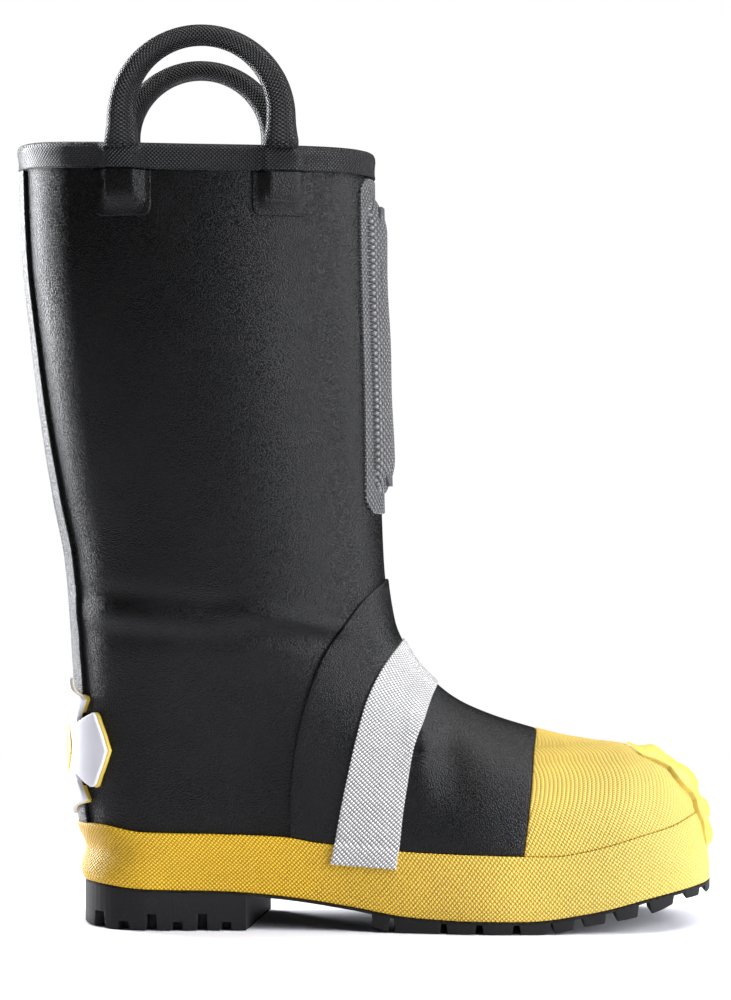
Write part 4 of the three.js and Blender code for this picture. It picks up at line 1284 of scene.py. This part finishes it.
MATERIALS = {
    "outsole_rubber": specked_rubber(),
    # The first colour of each knurled material is painted shade in its grooves.
    "yellow_rubber": knurled(
        "yellow_rubber", (0.36, 0.15, 0.001, 1), (0.7, 0.45, 0.004, 1), 0.00155, 0.0005, 0.5,
        # fade: painted light, a paler colour towards the toe.
        fade=(0.62, 0.46, 0.1, 1), Specular_IOR_Level=0.4,
    ),
    "smooth_yellow_rubber": plain(
        "smooth_yellow_rubber", (0.56, 0.4, 0.06, 1), (0.62, 0.46, 0.09, 1), 0.5, 260, 0.00012,
        Specular_IOR_Level=0.4,
    ),
    "black_rubber": pebbled_rubber("black_rubber", 0.001, 0.002, 0.0007, 0.0003, 0.24),
    "smooth_black_rubber": pebbled_rubber("smooth_black_rubber", 0.003, 0.005, 0.0007, 0.0003, 0.27),
    "knurled_black_rubber": knurled(
        "knurled_black_rubber", grey(0.001), grey(0.008), 0.0014, 0.0007, 0.32, Specular_IOR_Level=0.3,
    ),
    # Painted highlight and shade: the grey tops of the diamonds are painted highlight on black rubber, and
    # the near-black grooves are painted shade.
    "pad_rubber": knurled(
        "pad_rubber", grey(0.002), grey(0.13), 0.0024, 0.0016, 0.3, Specular_IOR_Level=0.9,
    ),
    "edge_rubber": pebbled_rubber("edge_rubber", 0.02, 0.03, 0.002, 0.0001, 0.6),
    "reflective_tape": knurled(
        "reflective_tape", (0.12, 0.12, 0.12, 1), (0.7, 0.69, 0.68, 1), 0.0016, 0.0006, 0.34, Metallic=0.35,
    ),
    "badge_white": plain("badge_white", grey(0.6), grey(0.66), 0.4, 300, 0.00005),
    "badge_gold": plain(
        "badge_gold", (0.72, 0.42, 0.06, 1), (0.85, 0.55, 0.12, 1), 0.32, 300, 0.00005, Metallic=0.6,
    ),
    "steel": brushed_steel(),
    "cork_filler": granules("cork_filler", (0.09, 0.05, 0.025, 1), (0.32, 0.2, 0.1, 1), 0.0025, 0.0005),
    "fibreboard": plain("fibreboard", (0.32, 0.24, 0.14, 1), (0.42, 0.33, 0.2, 1), 0.85, 900, 0.0003),
    "counter_board": plain(
        "counter_board", (0.035, 0.033, 0.03, 1), (0.06, 0.057, 0.052, 1), 0.85, 900, 0.0003,
    ),
    "lining_felt": felt(),
    "footbed_foam": granules("footbed_foam", grey(0.07), grey(0.13), 0.0012, 0.0003),
    "pad_foam": granules("pad_foam", grey(0.03), grey(0.06), 0.0016, 0.0004),
}


def finish_piece(piece, slot, body="boot"):
    """Gives a piece its material and slot, and ties it to a body."""
    piece.data.materials.clear()
    piece.data.materials.append(MATERIALS[slot])
    if body:
        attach(piece, body)


def build_boot():
    pieces = [
        (outsole, "outsole_rubber"), (foxing_band, "yellow_rubber"), (toe_cover, "yellow_rubber"),
        (upper_shell, "black_rubber"), (vamp_overlay, "smooth_black_rubber"), (back_stay, "black_rubber"),
        (toe_bumper, "smooth_yellow_rubber"), (reflective_strip, "reflective_tape"),
        (top_binding, "knurled_black_rubber"), (lining, "lining_felt"),
    ]
    for build, slot in pieces:
        finish_piece(build(), slot)
    for name, (side, middle) in HANDLES.items():
        for place, step in FOOT_STEPS.items():
            finish_piece(handle_patch(name, side, place, middle + step), "black_rubber")
    for piece, slot in zip(heel_badge(), ("smooth_yellow_rubber", "badge_white", "badge_gold")):
        finish_piece(piece, slot)
    pad = shin_pad()
    finish_piece(pad, "pad_rubber")
    insole = footbed()
    finish_piece(insole, "footbed_foam", "footbed")
    for name, (side, middle) in HANDLES.items():
        grip = pull_handle(name)
        finish_piece(grip, "knurled_black_rubber", None)
        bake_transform(grip)


def finish_inside():
    """Procedural materials for the pieces kept from the frame."""
    kept = {
        "puncture_plate": "steel", "shank": "steel", "steel_toe_cap": "steel",
        "bottom_filler": "cork_filler", "insole_board": "fibreboard", "heel_counter": "counter_board",
        "toe_cap_edge_strip": "edge_rubber", "shin_pad_core": "pad_foam",
    }
    for name in HANDLES:
        for place in ("rear", "front"):
            kept[f"handle_foot_{name}_{place}"] = "smooth_black_rubber"
    for name, slot in kept.items():
        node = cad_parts[name]
        node.data.materials.clear()
        node.data.materials.append(MATERIALS[slot])


# ---------- stage ----------

ROOM_LIGHT, BACKDROP_LIGHT = 0.05, 1.0
FLOOR_RADIUS, FLOOR_SIDES, FLOOR_GAP = 0.95, 96, 0.0003
WHITE, COOL = (1, 1, 1), (0.95, 0.96, 1.0)
CAMERA_DISTANCE, CAMERA_HEIGHT, CAMERA_LENS, CAMERA_SENSOR = 1.5, 0.216, 104.76, 36


def softbox(name, place, target, width, height, watts, colour):
    light = bpy.data.lights.new(name, "AREA")
    light.shape = "RECTANGLE"
    light.size, light.size_y = width, height
    light.energy = watts
    light.color = colour
    lamp = add_object(name, light)
    lamp.location = place
    direction = np.array(target) - np.array(place)
    lamp.rotation_euler = (
        math.acos(-direction[2] / np.linalg.norm(direction)), 0, math.atan2(-direction[0], direction[1]),
    )


def build_floor():
    """Pale round floor, just under the soles."""
    mesh = bpy.data.meshes.new("floor")
    turns = np.arange(FLOOR_SIDES) * 2 * math.pi / FLOOR_SIDES
    rim = [(FLOOR_RADIUS * math.cos(turn), FLOOR_RADIUS * math.sin(turn), 0) for turn in turns]
    mesh.from_pydata(rim, [], [list(range(FLOOR_SIDES))])
    floor = add_object("floor", mesh)
    floor.location = (0, 0, -FLOOR_GAP)
    material, tree, shader = new_material("floor", Roughness=0.9)
    tone = ramp(tree, noise(tree, 3, 2), [(0.3, grey(0.88)), (0.7, grey(0.9))])
    feed(tree, shader, Base_Color=tone)
    mesh.materials.append(material)


def build_lights():
    softbox("overhead", (0.3, -0.1, 1.9), (0.1, 0, 0), 2.2, 1.9, 42, WHITE)
    softbox("left_rear", (-1.2, 0.95, 0.6), (0, 0, 0.2), 0.7, 1.2, 60, COOL)
    softbox("right_front", (1.25, -0.62, 0.5), (0, 0, 0.3), 0.7, 1.2, 40, COOL)
    softbox("over_toe", (1.1, 0.4, 1.2), (0.05, 0, 0.1), 0.5, 0.5, 10, COOL)


def build_world():
    """White backdrop behind a dim room."""
    world = bpy.data.worlds.new("studio")
    world.use_nodes = True
    tree = world.node_tree
    shade = tree.nodes["Background"]
    shade.inputs["Color"].default_value = (1, 1, 1, 1)
    seen = add_node(tree, "ShaderNodeLightPath").outputs["Is Camera Ray"]
    tree.links.new(spread(tree, seen, 0, 1, ROOM_LIGHT, BACKDROP_LIGHT), shade.inputs["Strength"])
    bpy.context.scene.world = world
    bpy.context.scene.view_settings.view_transform = "Standard"


def build_camera():
    """Level camera, square to the boot's outer side."""
    data = bpy.data.cameras.new("camera")
    data.lens = CAMERA_LENS
    data.sensor_width = CAMERA_SENSOR
    data.sensor_fit = "AUTO"
    camera = add_object("camera", data)
    camera.location = (0, -CAMERA_DISTANCE, CAMERA_HEIGHT)
    camera.rotation_euler = (math.radians(90), 0, 0)
    bpy.context.scene.camera = camera


build_boot()
finish_inside()
build_floor()
build_world()
build_lights()
build_camera()
